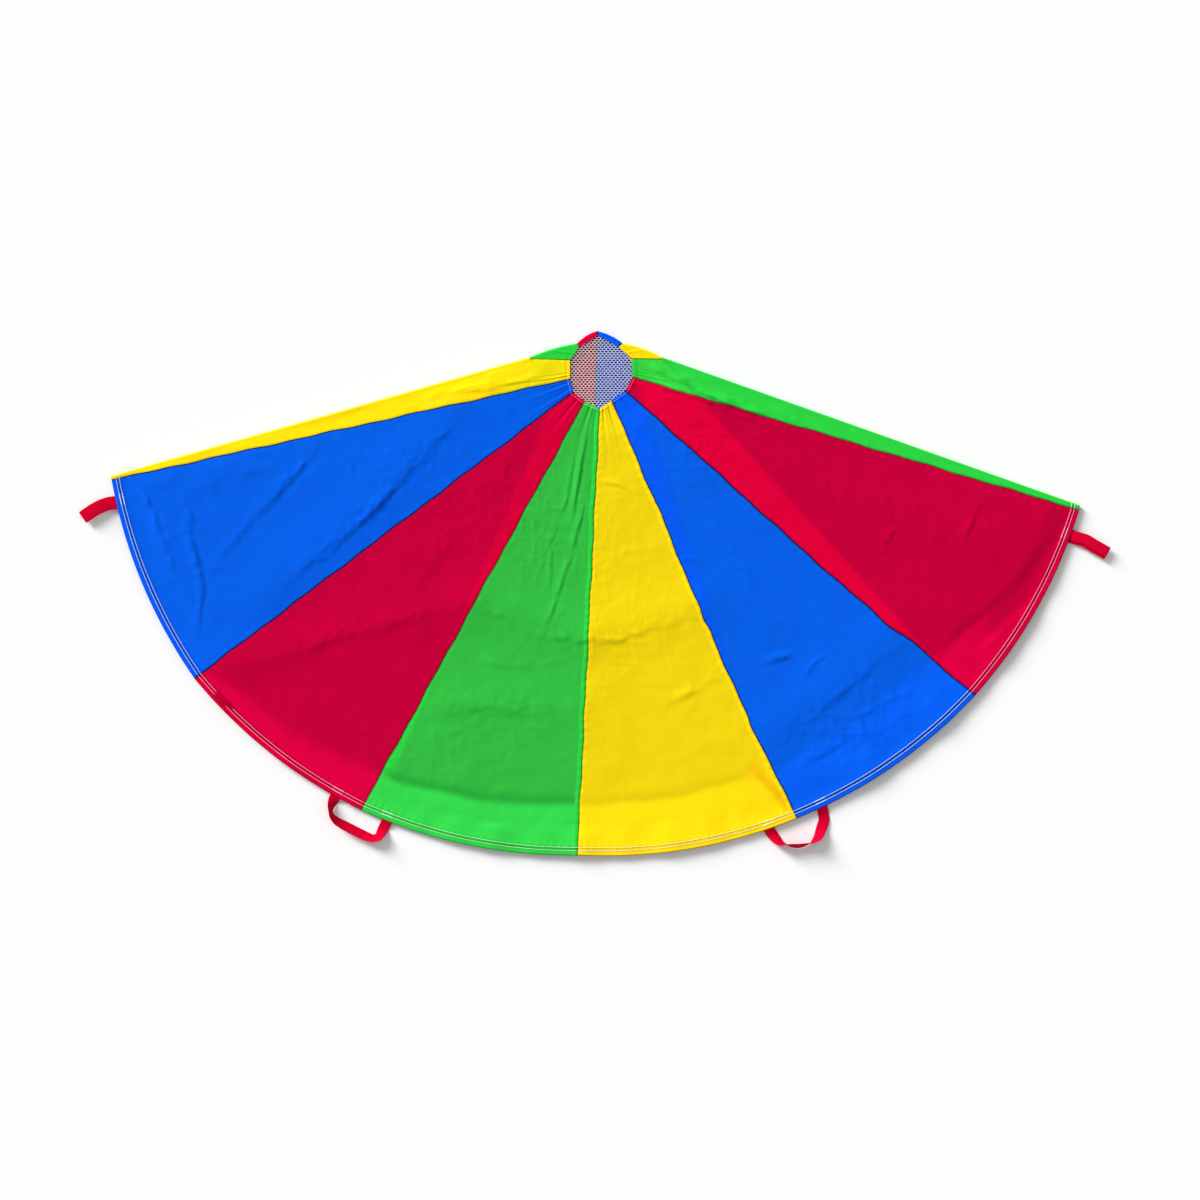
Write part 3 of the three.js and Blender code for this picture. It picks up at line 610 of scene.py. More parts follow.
def opaque(colour):
    return (*[float(part) for part in colour], 1)


# Nylon, with distances in metres. Marks have a half width and a softness, and noises a scale and
# a detail.
DOUBLE_TONE = 1.02  # two plies, against one over its own colour
PLY_SOFTNESS = 0.0006
SEAM_SOFTNESS = 0.0009
SEWN_SOFTNESS = 0.0008
FOLD_MARK = (0.0006, 0.0008)
RING_FOLD_MARK = (0.0008, 0.001)
BRINK_MARK = (0.0012, 0.0012)
DIMPLE_MARK = (0.0008, 0.0012)
FOLD_SHADE = 0.15
RING_FOLD_SHADE = 0.3
BRINK_SHADE = 0.3
SEWN_SHADE = 0.5  # of the seams' shade
MOTTLE_NOISE = (34, 4)
PATCH_NOISE = (14, 2)
PATCH_CONTRAST = 3
PATCH_LEAST = 1.1
CRUMPLE_NOISE = (120, 4, "RIDGED_MULTIFRACTAL")
CRUMPLE_STRETCH = (1.6, 1, 1)
WEAVE_PITCH = 0.0007
NYLON_TONE = (0.955, 0.09)  # plain, and by the mottle
NYLON_HEIGHTS = (0.5, 0.35, 0.05, -0.5)  # of crumple, mottle, weave and dimples
NYLON_ROUGHNESS = (0.62, 0.1, 0.04)  # plain, and by the mottle and the weave
NYLON_BUMP = 0.0006


def nylon(dye):
    """Thin plain-woven cloth, with what shows through it painted in as light and shade, and painted shade at
    its seams, folds, stitching and edge.
    """
    m = Material(f"{dye}_nylon", specular_ior_level=0.01)
    left, right, edge, run = (m.attribute(name) for name in ("left", "right", "edge", "run"))
    place, across, along = m.flat_place("cloth")
    colour, share = DYES[dye]
    double = colour * (1 - share + share * colour) * DOUBLE_TONE
    first, second = (row / 1000 for row in STITCH_ROWS)
    hem_end, ring_hem_end = HEM / 1000, RING_HEM / 1000

    strip = left.under(m.attribute("left_strip"), PLY_SOFTNESS)
    strip = strip.largest(right.under(m.attribute("right_strip"), PLY_SOFTNESS))
    hem = edge.under(hem_end, PLY_SOFTNESS).largest(run.under(ring_hem_end, PLY_SOFTNESS))
    # The tone attribute holds the painted light that comes up through the cloth
    seen = m.blend(m.attribute("tone", "Color"), opaque(double), strip.largest(hem))

    seam = left.least(right).under(SEAM_WIDTHS[dye] / 1000, SEAM_SOFTNESS)
    fold = (edge - hem_end).size().under(*FOLD_MARK)
    ring_fold = (run - ring_hem_end).size().under(*RING_FOLD_MARK)
    sewn = (edge - (first + second) / 2).size().under((second - first) / 2, SEWN_SOFTNESS)
    brink = edge.under(*BRINK_MARK)
    mottle = m.noise(place, *MOTTLE_NOISE)
    shade = weighed(NYLON_TONE, (1, mottle))
    seam_shade = SEAM_SHADES[dye]
    depths = (seam_shade, FOLD_SHADE, RING_FOLD_SHADE, SEWN_SHADE * seam_shade, BRINK_SHADE)
    for mark, depth in zip((seam, fold, ring_fold, sewn, brink), depths):
        shade = shade * (1 - depth * mark)

    dimple = (edge - first).size().least((edge - second).size()).under(*DIMPLE_MARK)
    patches = (m.noise(place, *PATCH_NOISE) * PATCH_CONTRAST - PATCH_LEAST).clamped()
    stretched = m.add("ShaderNodeMapping", {}, {"Vector": place, "Scale": CRUMPLE_STRETCH})
    crumple = m.noise(stretched, *CRUMPLE_NOISE) * patches
    weave = across.wave(WEAVE_PITCH) * along.wave(WEAVE_PITCH)
    height = weighed(NYLON_HEIGHTS, (crumple, mottle, weave, dimple))
    roughness = weighed(NYLON_ROUGHNESS, (1, mottle, weave))
    return m.finish(m.tint(seen, shade), roughness, height, NYLON_BUMP)


# Webbing and thread, likewise
RIB_PITCH = 0.0016
RIB_SWAY = (0.0032, 1.2)  # pitch and size
RIB_CORD_PITCH = 0.0011
SELVEDGE = 0.0016
SELVEDGE_SOFTNESS = 0.0004
WEBBING_NOISE = (120, 3)
WEBBING_TONE = (0.9, 0.06, 0.14)  # plain, and by the ribs and the mottle
SELVEDGE_TONE = (0.86, 0.14)  # outside the selvedges' inner lines, and more between them
WEBBING_HEIGHTS = (0.6, 0.25, 0.2)  # of ribs, cords and mottle
WEBBING_ROUGHNESS = (0.66, 0.12)
WEBBING_BUMP = 0.00025
FLECK_NOISE = (900, 2)
FLECK_TONE = (0.86, 0.2)
FLECK_ROUGHNESS = (0.55, 0.15)
FLECK_BUMP = 0.0001


def webbing_material():
    """Flat webbing with ribs across it and a selvedge along each side."""
    m = Material("red_webbing", specular_ior_level=0.02)
    place, across, along = m.flat_place("webbing")
    sway_pitch, sway = RIB_SWAY
    ribs = (along * (2 * math.pi / RIB_PITCH) + across.wave(sway_pitch) * sway).sine()
    cords = across.wave(RIB_CORD_PITCH)
    selvedge = across.size().under(WEBBING_WIDTH / 2000 - SELVEDGE, SELVEDGE_SOFTNESS)
    mottle = m.noise(place, *WEBBING_NOISE)
    shade = weighed(WEBBING_TONE, (1, ribs, mottle)) * weighed(SELVEDGE_TONE, (1, selvedge))
    height = weighed(WEBBING_HEIGHTS, (ribs, cords, mottle))
    roughness = weighed(WEBBING_ROUGHNESS, (1, mottle))
    return m.finish(m.tint(opaque(WEBBING_RED), shade), roughness, height, WEBBING_BUMP)


def thread_material(name, colour):
    """Twisted thread."""
    m = Material(name, specular_ior_level=0.2)
    fleck = m.noise(m.add("ShaderNodeTexCoord", {}, {}, "Object"), *FLECK_NOISE)
    seen = m.tint(opaque(colour), weighed(FLECK_TONE, (1, fleck)))
    return m.finish(seen, weighed(FLECK_ROUGHNESS, (1, fleck)), fleck, FLECK_BUMP)


# Pieces
def put(name, data):
    thing = bpy.data.objects.new(name, data)
    bpy.context.scene.collection.objects.link(thing)
    return thing


def mesh_of(bm, name):
    """The mesh of a bmesh, which is freed."""
    mesh = bpy.data.meshes.new(name)
    bm.to_mesh(mesh)
    bm.free()
    return mesh


def publish(name, mesh, body, material, nodes=()):
    """Puts a finished mesh in the scene, in place of CAD nodes."""
    mesh.materials.append(material)
    mesh.polygons.foreach_set("use_smooth", np.ones(len(mesh.polygons), bool))
    piece = put(name, mesh)
    if body:
        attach(piece, body)
    if nodes:
        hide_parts(*nodes)
    return piece


def store(mesh, name, values):
    layer = mesh.attributes.new(name, "FLOAT", "POINT")
    layer.data.foreach_set("value", np.broadcast_to(values, len(mesh.vertices)).astype(np.float32))


def lay(mesh, plan, level):
    mesh.vertices.foreach_set("co", to_metres(plan, level).astype(np.float32).ravel())


def store_uv(mesh, name, flat):
    corners = np.zeros(len(mesh.loops), np.int32)
    mesh.loops.foreach_get("vertex_index", corners)
    mesh.uv_layers.new(name=name).data.foreach_set("uv", flat[corners].astype(np.float32).ravel())


def to_metres(plan, level):
    return np.column_stack([plan + CROWN, level]) / 1000


def grid(name, columns, rows):
    """A grid's mesh, with the column and row of each vertex."""
    bm = bmesh.new()
    bmesh.ops.create_grid(bm, x_segments=columns, y_segments=rows, size=1)
    mesh = mesh_of(bm, name)
    flat = np.zeros(len(mesh.vertices) * 3, np.float32)
    mesh.vertices.foreach_get("co", flat)
    share = (flat.reshape(-1, 3) + 1) / 2
    return mesh, np.rint(share[:, 0] * columns).astype(int), np.rint(share[:, 1] * rows).astype(int)


# Canopy
UPPER_COLUMNS = 140
BODY_ROWS = 280
UNDER_COLUMNS = 70
UNDER_BODY_ROWS = 140
LEAD_ROWS = 10  # out from the ring to the crease
BEND_ROWS = 10
RING_HEM_ROWS = 6
HEM_ROWS = 10
TURN_ROWS = 4
BACK_ROWS = 3
COLUMN_SPREAD = 0.5  # how much closer columns stand beside the seams
SIDE_COLUMNS = (70, 10, 50)  # on top, round the crease, underneath
TOP_SHARE = 0.4  # of a divided gore lies on top near the crown
HALVINGS = 30
UPPER_GORES = (1, 2, 3, 4, 5, 6)
SIDE_GORES = {0: (0, 11), 7: (6, 7)}  # between a seam of the upper layer and one of the lower
LOWER_CLOTHS = ["cloth_10_blue", "cloth_11_red"]

# Width of the seam allowance that shows beside the left and the right seam of a gore
NO_STRIPS = (0, 0)
STRIPS = {2: (3.5, 0), 3: (0, 8.5), 4: (0, 6.5), 6: (3.5, 0)}

# What is sewn: widths, heights, and puckers as the width and height of their band with their
# pitch and the length over which it drifts
GROOVE = (2.2, 0.5)
STRIP_HEIGHT = 0.3
PLY_STEP = 1  # half the width of the step down from a ply
SEAM_PUCKERS = (9, 0.25, 17, 31)
HEM_PUCKERS = (8, 0.2, 13, 23)
RING_HEM_RISE = 0.7
BOW_SKEW = 1.6
WANDER_LENGTHS = (17, 41)
WANDER_ENDS = (0.1, 0.94)

# Pleats that fan out from the ring: count, height share and shift share
PLEATS = ((2.4, 1, 1), (4.6, 0.6, 2.3))
PLEAT_HEIGHT = 3
PLEAT_SHIFT = 1.7
PLEAT_REACH = 55
UNDER_PLEAT_SHARE = 0.5


def dye_of(k):
    return DYE_ORDER[k % len(DYE_ORDER)]


class Along:
    """Places along a gore: over the ring hem, the body and the rim hem, round its edge and back."""

    def __init__(self, ring_hem, body, hem, turn, back):
        self.ring_hem, self.body, self.hem = (np.asarray(x, float) for x in (ring_hem, body, hem))
        self.turn, self.back = np.asarray(turn, float), np.asarray(back, float)

    @staticmethod
    def rows(body_rows, ring_hem):
        steps = [(ring_hem * i / RING_HEM_ROWS, 0, 0, 0, 0) for i in range(RING_HEM_ROWS) if ring_hem]
        steps += [(ring_hem, i / body_rows, 0, 0, 0) for i in range(body_rows)]
        steps += [(ring_hem, 1, HEM * i / HEM_ROWS, 0, 0) for i in range(HEM_ROWS + 1)]
        steps += [(ring_hem, 1, HEM, math.pi * (i + 1) / TURN_ROWS, 0) for i in range(TURN_ROWS)]
        steps += [(ring_hem, 1, HEM, math.pi, HEM * (i + 1) / BACK_ROWS) for i in range(BACK_ROWS)]
        return np.array(steps)

    def share(self, length, ring_hem):
        return (self.ring_hem + self.body * (length - ring_hem - HEM) + self.hem) / length


def spread(column, columns):
    """Columns stand closer together beside the seams."""
    share = column / columns
    return share - COLUMN_SPREAD * np.sin(2 * np.pi * share) / (2 * np.pi)


def turned_edge(plan, turn, back, face):
    """Carries points round the turned edge. face is 1 where the turned ply lies underneath."""
    plan = plan - unit(plan) * (TURN * (1 - np.sin(turn)) * (turn > 0) + back)[:, None]
    return plan, face * TURN * np.cos(turn)


def puckers(distance, along, wide, tall, pitch, drift):
    """Puckers in a band beside a line, along which they follow each other."""
    return tall * np.sin(2 * np.pi * along / pitch + np.sin(along / drift)) * bell(distance, wide)


def sewn_relief(facts, strips):
    """The seams' grooves and puckers, the steps of their allowances, and the hem's puckers."""
    left, right, run, edge = (facts[name] for name in ("left", "right", "run", "edge"))
    groove_width, groove_depth = GROOVE
    height = -groove_depth * (bell(left, groove_width) + bell(right, groove_width))
    for distance, wide in zip((left, right), strips):
        if wide:
            beyond = smooth(wide - PLY_STEP, wide + PLY_STEP, distance)
            height += STRIP_HEIGHT * (1 - beyond) * smooth(0, 2 * PLY_STEP, distance)
    height += puckers(left, run, *SEAM_PUCKERS) - puckers(right, run, *SEAM_PUCKERS)
    return height + puckers(edge - HEM, left, *HEM_PUCKERS)


def gathers(u, run, k):
    shift = PLEAT_SHIFT * k
    fan = sum(tall * np.sin(2 * np.pi * count * u + part * shift) for count, tall, part in PLEATS)
    return PLEAT_HEIGHT * fan * np.exp(-run / PLEAT_REACH) * smooth(0, RING_HEM, run) * u * (1 - u)


def hem_rise(facts):
    """A hem's upper ply lies half a turn above the middle of the hem."""
    rim_hem = 1 - smooth(HEM - PLY_STEP, HEM + 2 * PLY_STEP, facts["edge"])
    ring_hem = 1 - smooth(RING_HEM - PLY_STEP, RING_HEM + PLY_STEP, facts["run"])
    return rim_hem, RING_HEM_RISE * ring_hem


def gore_facts(u, width, run, back, edge, wide, length):
    """How far each point of a gore lies from its seams, ring and hem edge, and the gore's flat size."""
    return {
        "left": u * width,
        "right": (1 - u) * width,
        "run": run + back,
        "edge": edge,
        "flat": (float(wide), float(length) + HEM),
    }


def seam_point(k, share):
    length = length_of(rim[k] - ring[k])
    bow = -np.sin(np.pi * np.clip(share, 0, 1) ** BOW_SKEW) * SEAM_BOWS[k] * length
    starts, ends = WANDER_ENDS
    calm = smooth(0, starts, share) * (1 - smooth(ends, 1, share))
    short, long = (share * length / pitch for pitch in WANDER_LENGTHS)
    wander = SEAM_WANDER * np.sin(short + 2 * k) * np.sin(long + k) * calm
    for at, tall, wide in SEAM_KINKS.get(k, ()):
        wander = wander + tall * bell(share - at, wide)
    across = outward(ring[k], rim[k], (-2 * CANOPY_RADIUS, 0))
    straight = mix(ring[k], rim[k], share) + np.stack([bow, np.zeros_like(bow)], -1)
    return straight + np.asarray(wander)[..., None] * across


def upper_surface(k, u, along):
    """Points of a gore that lies wholly in the upper layer."""
    a, b = k - 1, k
    lengths = [length_of(rim[seam] - ring[seam]) for seam in (a, b)]
    shares = [along.share(length, RING_HEM) for length in lengths]
    left, right = seam_point(a, shares[0]), seam_point(b, shares[1])
    share = (shares[0] + shares[1]) / 2
    flat = mix(left, right, u)
    plan = flat + (rim_arc(left, right, u) - flat) * share[:, None]
    length = sum(lengths) / 2
    facts = gore_facts(u, length_of(right - left), share * length, along.back, (1 - share) * length,
                       length_of(rim[a] - rim[b]), length)
    facts["tone"] = shine_through(dye_of(k), *beneath(plan))
    level = upper_level(plan) + relief(plan) + gathers(u, facts["run"], k)
    level += sewn_relief(facts, STRIPS.get(k, NO_STRIPS))
    plan, step = turned_edge(plan, along.turn, along.back, 1)
    rim_hem, ring_hem = hem_rise(facts)
    level += np.where(along.turn > 0, step, TURN * np.maximum(rim_hem, ring_hem))
    return plan, level, facts


def under_line(start, base, normal, end, lead, turn, along):
    """A line from the ring out to the crease, round it, and back underneath to the rim."""
    back = turn >= np.pi
    length = length_of(end - base)
    share = along.share(length, 0) * back
    plan = mix(start, base, lead) + normal * (FOLD_RADIUS * np.sin(turn))[:, None]
    plan = np.where(back[:, None], mix(base, end, share), plan)
    ahead = length_of(base - start)
    run = lead * ahead + turn * FOLD_RADIUS + share * length
    whole = ahead + np.pi * FOLD_RADIUS + length
    return plan, run, share, whole


def swing(k, share):
    aside = UNDER_SWINGS.get(k, 0) * np.sin(np.pi * np.clip(share / SWING_SHARE, 0, 1))
    return np.column_stack([aside, np.zeros(len(share))])


class UnderRows:
    """The rows of a gore that turns under at the crease."""

    def __init__(self, row):
        table = Along.rows(UNDER_BODY_ROWS, 0)
        self.lead = np.clip(row / LEAD_ROWS, 0, 1)
        self.turn = np.pi * np.clip((row - LEAD_ROWS) / BEND_ROWS, 0, 1)
        self.along = Along(*table[np.clip(row - LEAD_ROWS - BEND_ROWS, 0, len(table) - 1)].T)
        self.count = len(row)

    def line(self, start, base, normal, end):
        ends = [np.broadcast_to(point, (self.count, 2)) for point in (start, base, normal, end)]
        return under_line(*ends, self.lead, self.turn, self.along)

    def seam(self, k):
        plan, run, share, whole = self.line(ring[k], crease_base[k], crease_normal[k], rim[k])
        return plan + swing(k, share), run, share, whole


UNDER_ROWS = LEAD_ROWS + BEND_ROWS + len(Along.rows(UNDER_BODY_ROWS, 0)) - 1


def round_fold(turn, up, down):
    """Height in the fold, or of the layer above or below it."""
    level = REST_LEVEL + FOLD_RADIUS * (1 + np.cos(turn))
    return np.where(turn <= 0, up, np.where(turn >= np.pi, down, level))


def under_surface(k, u, rows):
    """Points of a gore that starts behind the crown and lies underneath."""
    a, b = k - 1, k
    left, right = rows.seam(a)[0], rows.seam(b)[0]
    normal = unit(mix(crease_normal[a], crease_normal[b], u))
    bulge = 4 * u * (1 - u) * CREASE_BULGE * NET_RADIUS
    base = mix(crease_base[a], crease_base[b], u) + normal * bulge[:, None]
    plan, run, share, whole = rows.line(mix(ring[a], ring[b], u), base, normal, mix(rim[a], rim[b], u))
    plan = plan + mix(swing(a, share), swing(b, share), u)
    plan = plan + (rim_arc(left, right, u) - plan) * share[:, None]
    facts = gore_facts(u, length_of(right - left), run, rows.along.back, whole - run,
                       length_of(rim[a] - rim[b]), np.mean(whole))
    dye = dye_of(k)
    beneath_all = rows.turn >= np.pi
    behind = np.where(beneath_all[:, None], np.ones(3), DYES[dye][0])
    # Painted shade of the net on the lower layer beneath the crown
    below_net = beneath_all * (1 - smooth(NET_RADIUS, NET_RADIUS + RING_HEM, length_of(plan)))
    facts["tone"] = shine_through(dye, behind) * (1 - NET_SHADE * below_net)[:, None]
    pleats = UNDER_PLEAT_SHARE * gathers(u, run, k)
    level = round_fold(rows.turn, CREASE_LEVEL + pleats, under_level(plan))
    plan, step = turned_edge(plan, rows.along.turn, rows.along.back, -1)
    rim_hem, ring_hem = hem_rise(facts)
    hemmed = TURN * (ring_hem * (rows.turn <= 0) - rim_hem)
    return plan, level + np.where(rows.along.turn > 0, step, hemmed), facts


def crossing(rising, value, low, high):
    """The share at which a rising function reaches a value, kept between two limits."""
    for _ in range(HALVINGS):
        middle = (low + high) / 2
        before = rising(middle) < value
        low, high = np.where(before, middle, low), np.where(before, high, middle)
    return (low + high) / 2


def side_surface(k, column, rows):
    """Points of a gore that the crease divides."""
    upper, under = SIDE_GORES[k]
    front, bend, rear = SIDE_COLUMNS
    base, normal = crease_base[under], crease_normal[under]
    around = math.pi * FOLD_RADIUS
    far, run, _, whole = rows.seam(under)
    part = run / whole
    start = seam_point(upper, part)
    beyond = (far - base) @ normal
    opened = np.where(rows.turn >= np.pi, around - beyond, rows.turn * FOLD_RADIUS)
    end = np.where((rows.turn > 0)[:, None], far + (opened - beyond)[:, None] * normal, far)
    width = length_of(end - start)

    def across(u):
        flat = mix(start, end, u)
        return flat + (rim_arc(start, end, u) - flat) * part[:, None]

    def height(u):
        return (across(u) - base) @ normal

    least = LEAST_COLUMN / width
    first = crossing(height, 0, front * least, 1 - (bend + rear) * least)
    second = crossing(height, around, first + bend * least, 1 - rear * least)
    stretches = [column, column - front, column - front - bend]
    shares = [np.clip(part / count, 0, 1) for part, count in zip(stretches, SIDE_COLUMNS)]
    u = first * shares[0] + (second - first) * shares[1] + (1 - second) * shares[2]
    point = across(u)
    beyond = height(u)
    turn = np.clip(beyond / FOLD_RADIUS, 0, np.pi)
    folded = np.where(beyond >= around, around - 2 * beyond, FOLD_RADIUS * np.sin(turn) - beyond)
    plan = point + normal * np.where(beyond > 0, folded, 0)[:, None]
    edge = np.maximum(whole - run, 0)
    facts = gore_facts(u, width, run, rows.along.back, edge, width.max(), np.mean(whole))
    behind = np.where((turn < np.pi)[:, None], beneath(plan)[0], np.ones(3))
    facts["tone"] = shine_through(dye_of(k), behind)
    pleats = gathers(np.minimum(u / TOP_SHARE, 1), run, k)
    up = upper_level(plan) + relief(plan) + pleats + sewn_relief(facts, NO_STRIPS)
    level = round_fold(turn, up, under_level(plan))
    plan, step = turned_edge(plan, rows.along.turn, rows.along.back, 1)
    rim_hem, ring_hem = hem_rise(facts)
    hemmed = TURN * (rim_hem * np.cos(turn) + ring_hem * (turn <= 0))
    return plan, level + np.where(rows.along.turn > 0, step * np.cos(turn), hemmed), facts


def gore(k, mesh, surface, flip):
    """Makes a gore's piece from a grid and the surface that places it."""
    plan, level, facts = surface
    lay(mesh, plan, level)
    for name in ("left", "right", "edge", "run"):
        store(mesh, name, facts[name] / 1000)
    for name, strip in zip(("left_strip", "right_strip"), STRIPS.get(k, NO_STRIPS)):
        store(mesh, name, strip / 1000)
    tone = mesh.color_attributes.new("tone", "FLOAT_COLOR", "POINT")
    colours = np.column_stack([facts["tone"], np.ones(len(plan))])
    tone.data.foreach_set("color", colours.astype(np.float32).ravel())
    store_uv(mesh, "cloth", np.column_stack([(facts["left"] - facts["right"]) / 2, facts["run"]]) / 1000)
    if flip:
        mesh.flip_normals()
    mesh.update()
    dye = dye_of(k)
    node = f"gore_{k + 1:02d}_{dye}"
    piece = publish(f"cloth_{k + 1:02d}_{dye}", mesh, "canopy", cloths[dye], [node])
    wide, length = (side / 1000 for side in facts["flat"])
    narrow = 2 * math.pi * NET_RADIUS / len(ring) / 1000
    area = (wide + narrow) / 2 * length
    lies_on = LOWER_CLOTHS if k in UPPER_GORES else ["floor"]


def upper_gore(k):
    table = Along.rows(BODY_ROWS, RING_HEM)
    mesh, column, row = grid(f"gore_{k}", UPPER_COLUMNS, len(table) - 1)
    gore(k, mesh, upper_surface(k, spread(column, UPPER_COLUMNS), Along(*table[row].T)), True)


def under_gore(k):
    mesh, column, row = grid(f"gore_{k}", UNDER_COLUMNS, UNDER_ROWS)
    gore(k, mesh, under_surface(k, spread(column, UNDER_COLUMNS), UnderRows(row)), False)


def side_gore(k):
    mesh, column, row = grid(f"gore_{k}", sum(SIDE_COLUMNS), UNDER_ROWS)
    right_seam_beneath = SIDE_GORES[k][1] == k
    gore(k, mesh, side_surface(k, column, UnderRows(row)), right_seam_beneath)


cloths = {dye: nylon(dye) for dye in DYES}
for k in range(len(rim)):
    if k in SIDE_GORES:
        side_gore(k)
    elif k in UPPER_GORES:
        upper_gore(k)
    else:
        under_gore(k)

# Crown net
NET_PITCH = (7.0, 4.0)  # across, and from row to row
NET_STRAND = 1.1
NET_LEVEL = 6.1
NET_MARGIN = 3
NET_ROWS_SPARE = 1.2
NET_MERGE = 0.1
NET_SAG = (0.5, 30, 8.2)  # height, length and seed
NET_WHITE = srgb(252, 252, 252)


def crown_net():
    """Knitted net: rows of six-sided gaps, each row half a pitch aside from the last."""
    bm = bmesh.new()
    across, down = NET_PITCH
    count = math.ceil(NET_ROWS_SPARE * NET_RADIUS / down)
    stretch = Matrix.Diagonal((across / math.sqrt(3), down / 1.5, 1, 1))
    outline = ring * (1 + NET_MARGIN / NET_RADIUS)
    for row in range(-count, count + 1):
        for column in range(-count, count + 1):
            middle = np.array([(column + (row % 2) / 2) * across, row * down])
            ends = zip(outline, np.roll(outline, -1, 0))
            if all(cross(b - a, middle - a) > 0 for a, b in ends):
                place = Matrix.Translation((*middle, 0)) @ stretch @ Matrix.Rotation(math.pi / 6, 4, "Z")
                bmesh.ops.create_circle(bm, cap_ends=True, segments=6, radius=1, matrix=place)
    bmesh.ops.remove_doubles(bm, verts=bm.verts, dist=NET_MERGE)
    holes = list(bm.faces)
    bmesh.ops.inset_individual(bm, faces=holes, thickness=NET_STRAND / 2)
    bmesh.ops.delete(bm, geom=holes, context="FACES")
    sag, length, seed = NET_SAG
    for vertex in bm.verts:
        x, y, z = vertex.co
        level = NET_LEVEL + sag * noise.noise(Vector((x / length, y / length, seed))) + z
        vertex.co = Vector((x + CROWN[0], y + CROWN[1], level)) / 1000
    bmesh.ops.recalc_face_normals(bm, faces=bm.faces)
    yarn = thread_material("net_yarn", NET_WHITE)
    piece = publish("knitted_net", mesh_of(bm, "net"), "canopy", yarn, ["crown_net"])


crown_net()

# Handles
STRAP_STEP = 1.2
SECTION_POINTS = 20
SECTION_POWERS = (0.25, 0.6)  # how square the webbing's edges and faces are
ROUNDINGS = 10
SAME_PLACE = 0.00001
BEND_POINTS = 9
SEEN_FLAT = 20.3  # the seen width of webbing that lies flat
SEWN_DEPTH = 22  # how far the sewn ends reach in from the hinge
DROP = (-6, 12)  # from and to where a strap comes down to the floor
PLY_OFFSET = 2.4  # how far aside each ply of a shut loop lies
FOLD_DROP = 1.1
SEWN_GAP = 2.1  # between the two plies of a shut loop where the hem holds them

# Places along each open loop: across and beyond the hinge, and the width seen from above.
# A width below zero is webbing that leans past upright.
OPEN_LOOPS = {
    "front_left": [
        (-54.2, 4.0, 20.3), (-53.3, 14.8, 13), (-50.3, 23.6, 6), (-43.6, 31.7, 8.3), (-31.3, 36.1, 13.9),
        (-14.4, 37.3, 16.6), (4.2, 37.9, 16.6), (25.9, 38.3, 16.6), (41.6, 36.9, 13), (50.4, 29.6, 14.8),
        (51.4, 16.5, 20.3), (51.8, -2.1, 20.3),
    ],
    "front_right": [
        (-55.5, -6.7, 20.3), (-53.5, 6.3, 20.3), (-49.6, 18.8, 18.5), (-44.4, 28.0, 11.1), (-39.0, 32.0, 2.8),
        (-30.6, 38.2, -6.5), (-19.2, 44.6, -8.9), (-8.5, 47.6, -8.3), (3.1, 48.6, -3.7), (9.1, 48.6, 2.8),
        (24.6, 43.0, 16.6), (34.3, 32.8, 20.0), (46.3, 19.5, 20.3), (50.8, 0.4, 20.3),
    ],
}

# The loops beneath lie flat.
FLAT_LOOPS = {
    "under_left": [(-53.5, 0), (-52, 22), (-38, 36), (0, 38.5), (38, 36), (52, 22), (53.5, 0)],
    "under_right": [(-53.5, 0), (-40, 24), (-8, 54), (21, 60), (40, 44), (50, 20), (53.5, 0)],
}

# Places along the middle of each loop whose two plies lie one on the other: across and beyond
# the hinge, and the height of the lower ply.
SHUT_LOOPS = {
    "left": [
        (2.0, -22, 3.1),
        (0.9, -6.9, 3.1),
        (-0.8, 10.6, 4.5),
        (1.3, 26.2, 7),
        (6.1, 42.5, 8),
        (13.8, 61.3, 6.5),
    ],
    "right": [
        (-2.9, -22, 3.1),
        (-2.9, -5.5, 3.1),
        (-2.5, 10, 4.5),
        (-1.3, 24.8, 6),
        (-5.4, 44.8, 7),
        (-9.6, 69.9, 7),
    ],
}
hinges = {joint["name"]: joint for joint in frame["joints"]}


class Hinge:
    """A handle's hinge line: its middle, its direction, and the way out from the canopy."""

    def __init__(self, handle):
        joint = hinges[f"{handle}_loop_hinge"]
        self.middle = np.array(joint["pos_m"][:2]) * 1000 - CROWN
        along = np.array(joint["axis"][:2])
        self.out = unit(self.middle - (self.middle @ along) * along)
        self.along = -beside(self.out)

    def plan(self, places):
        return self.middle + places[:, :1] * self.along + places[:, 1:2] * self.out

    def near(self, beyond):
        return tuple(to_metres((self.middle + beyond * self.out)[None], REST_LEVEL)[0])


def even_path(stations, step):
    """Rows of numbers spaced evenly along a route and rounded at its corners."""
    stations = np.array(stations, float)
    reach = reach_along(stations[:, :2])
    at = np.linspace(0, reach[-1], int(reach[-1] / step) + 1)
    path = np.stack([np.interp(at, reach, column) for column in stations.T], -1)
    for _ in range(ROUNDINGS):
        path[1:-1] = (path[:-2] + 2 * path[1:-1] + path[2:]) / 4
    return path


def squared(value, power):
    return np.sign(value) * np.abs(value) ** power


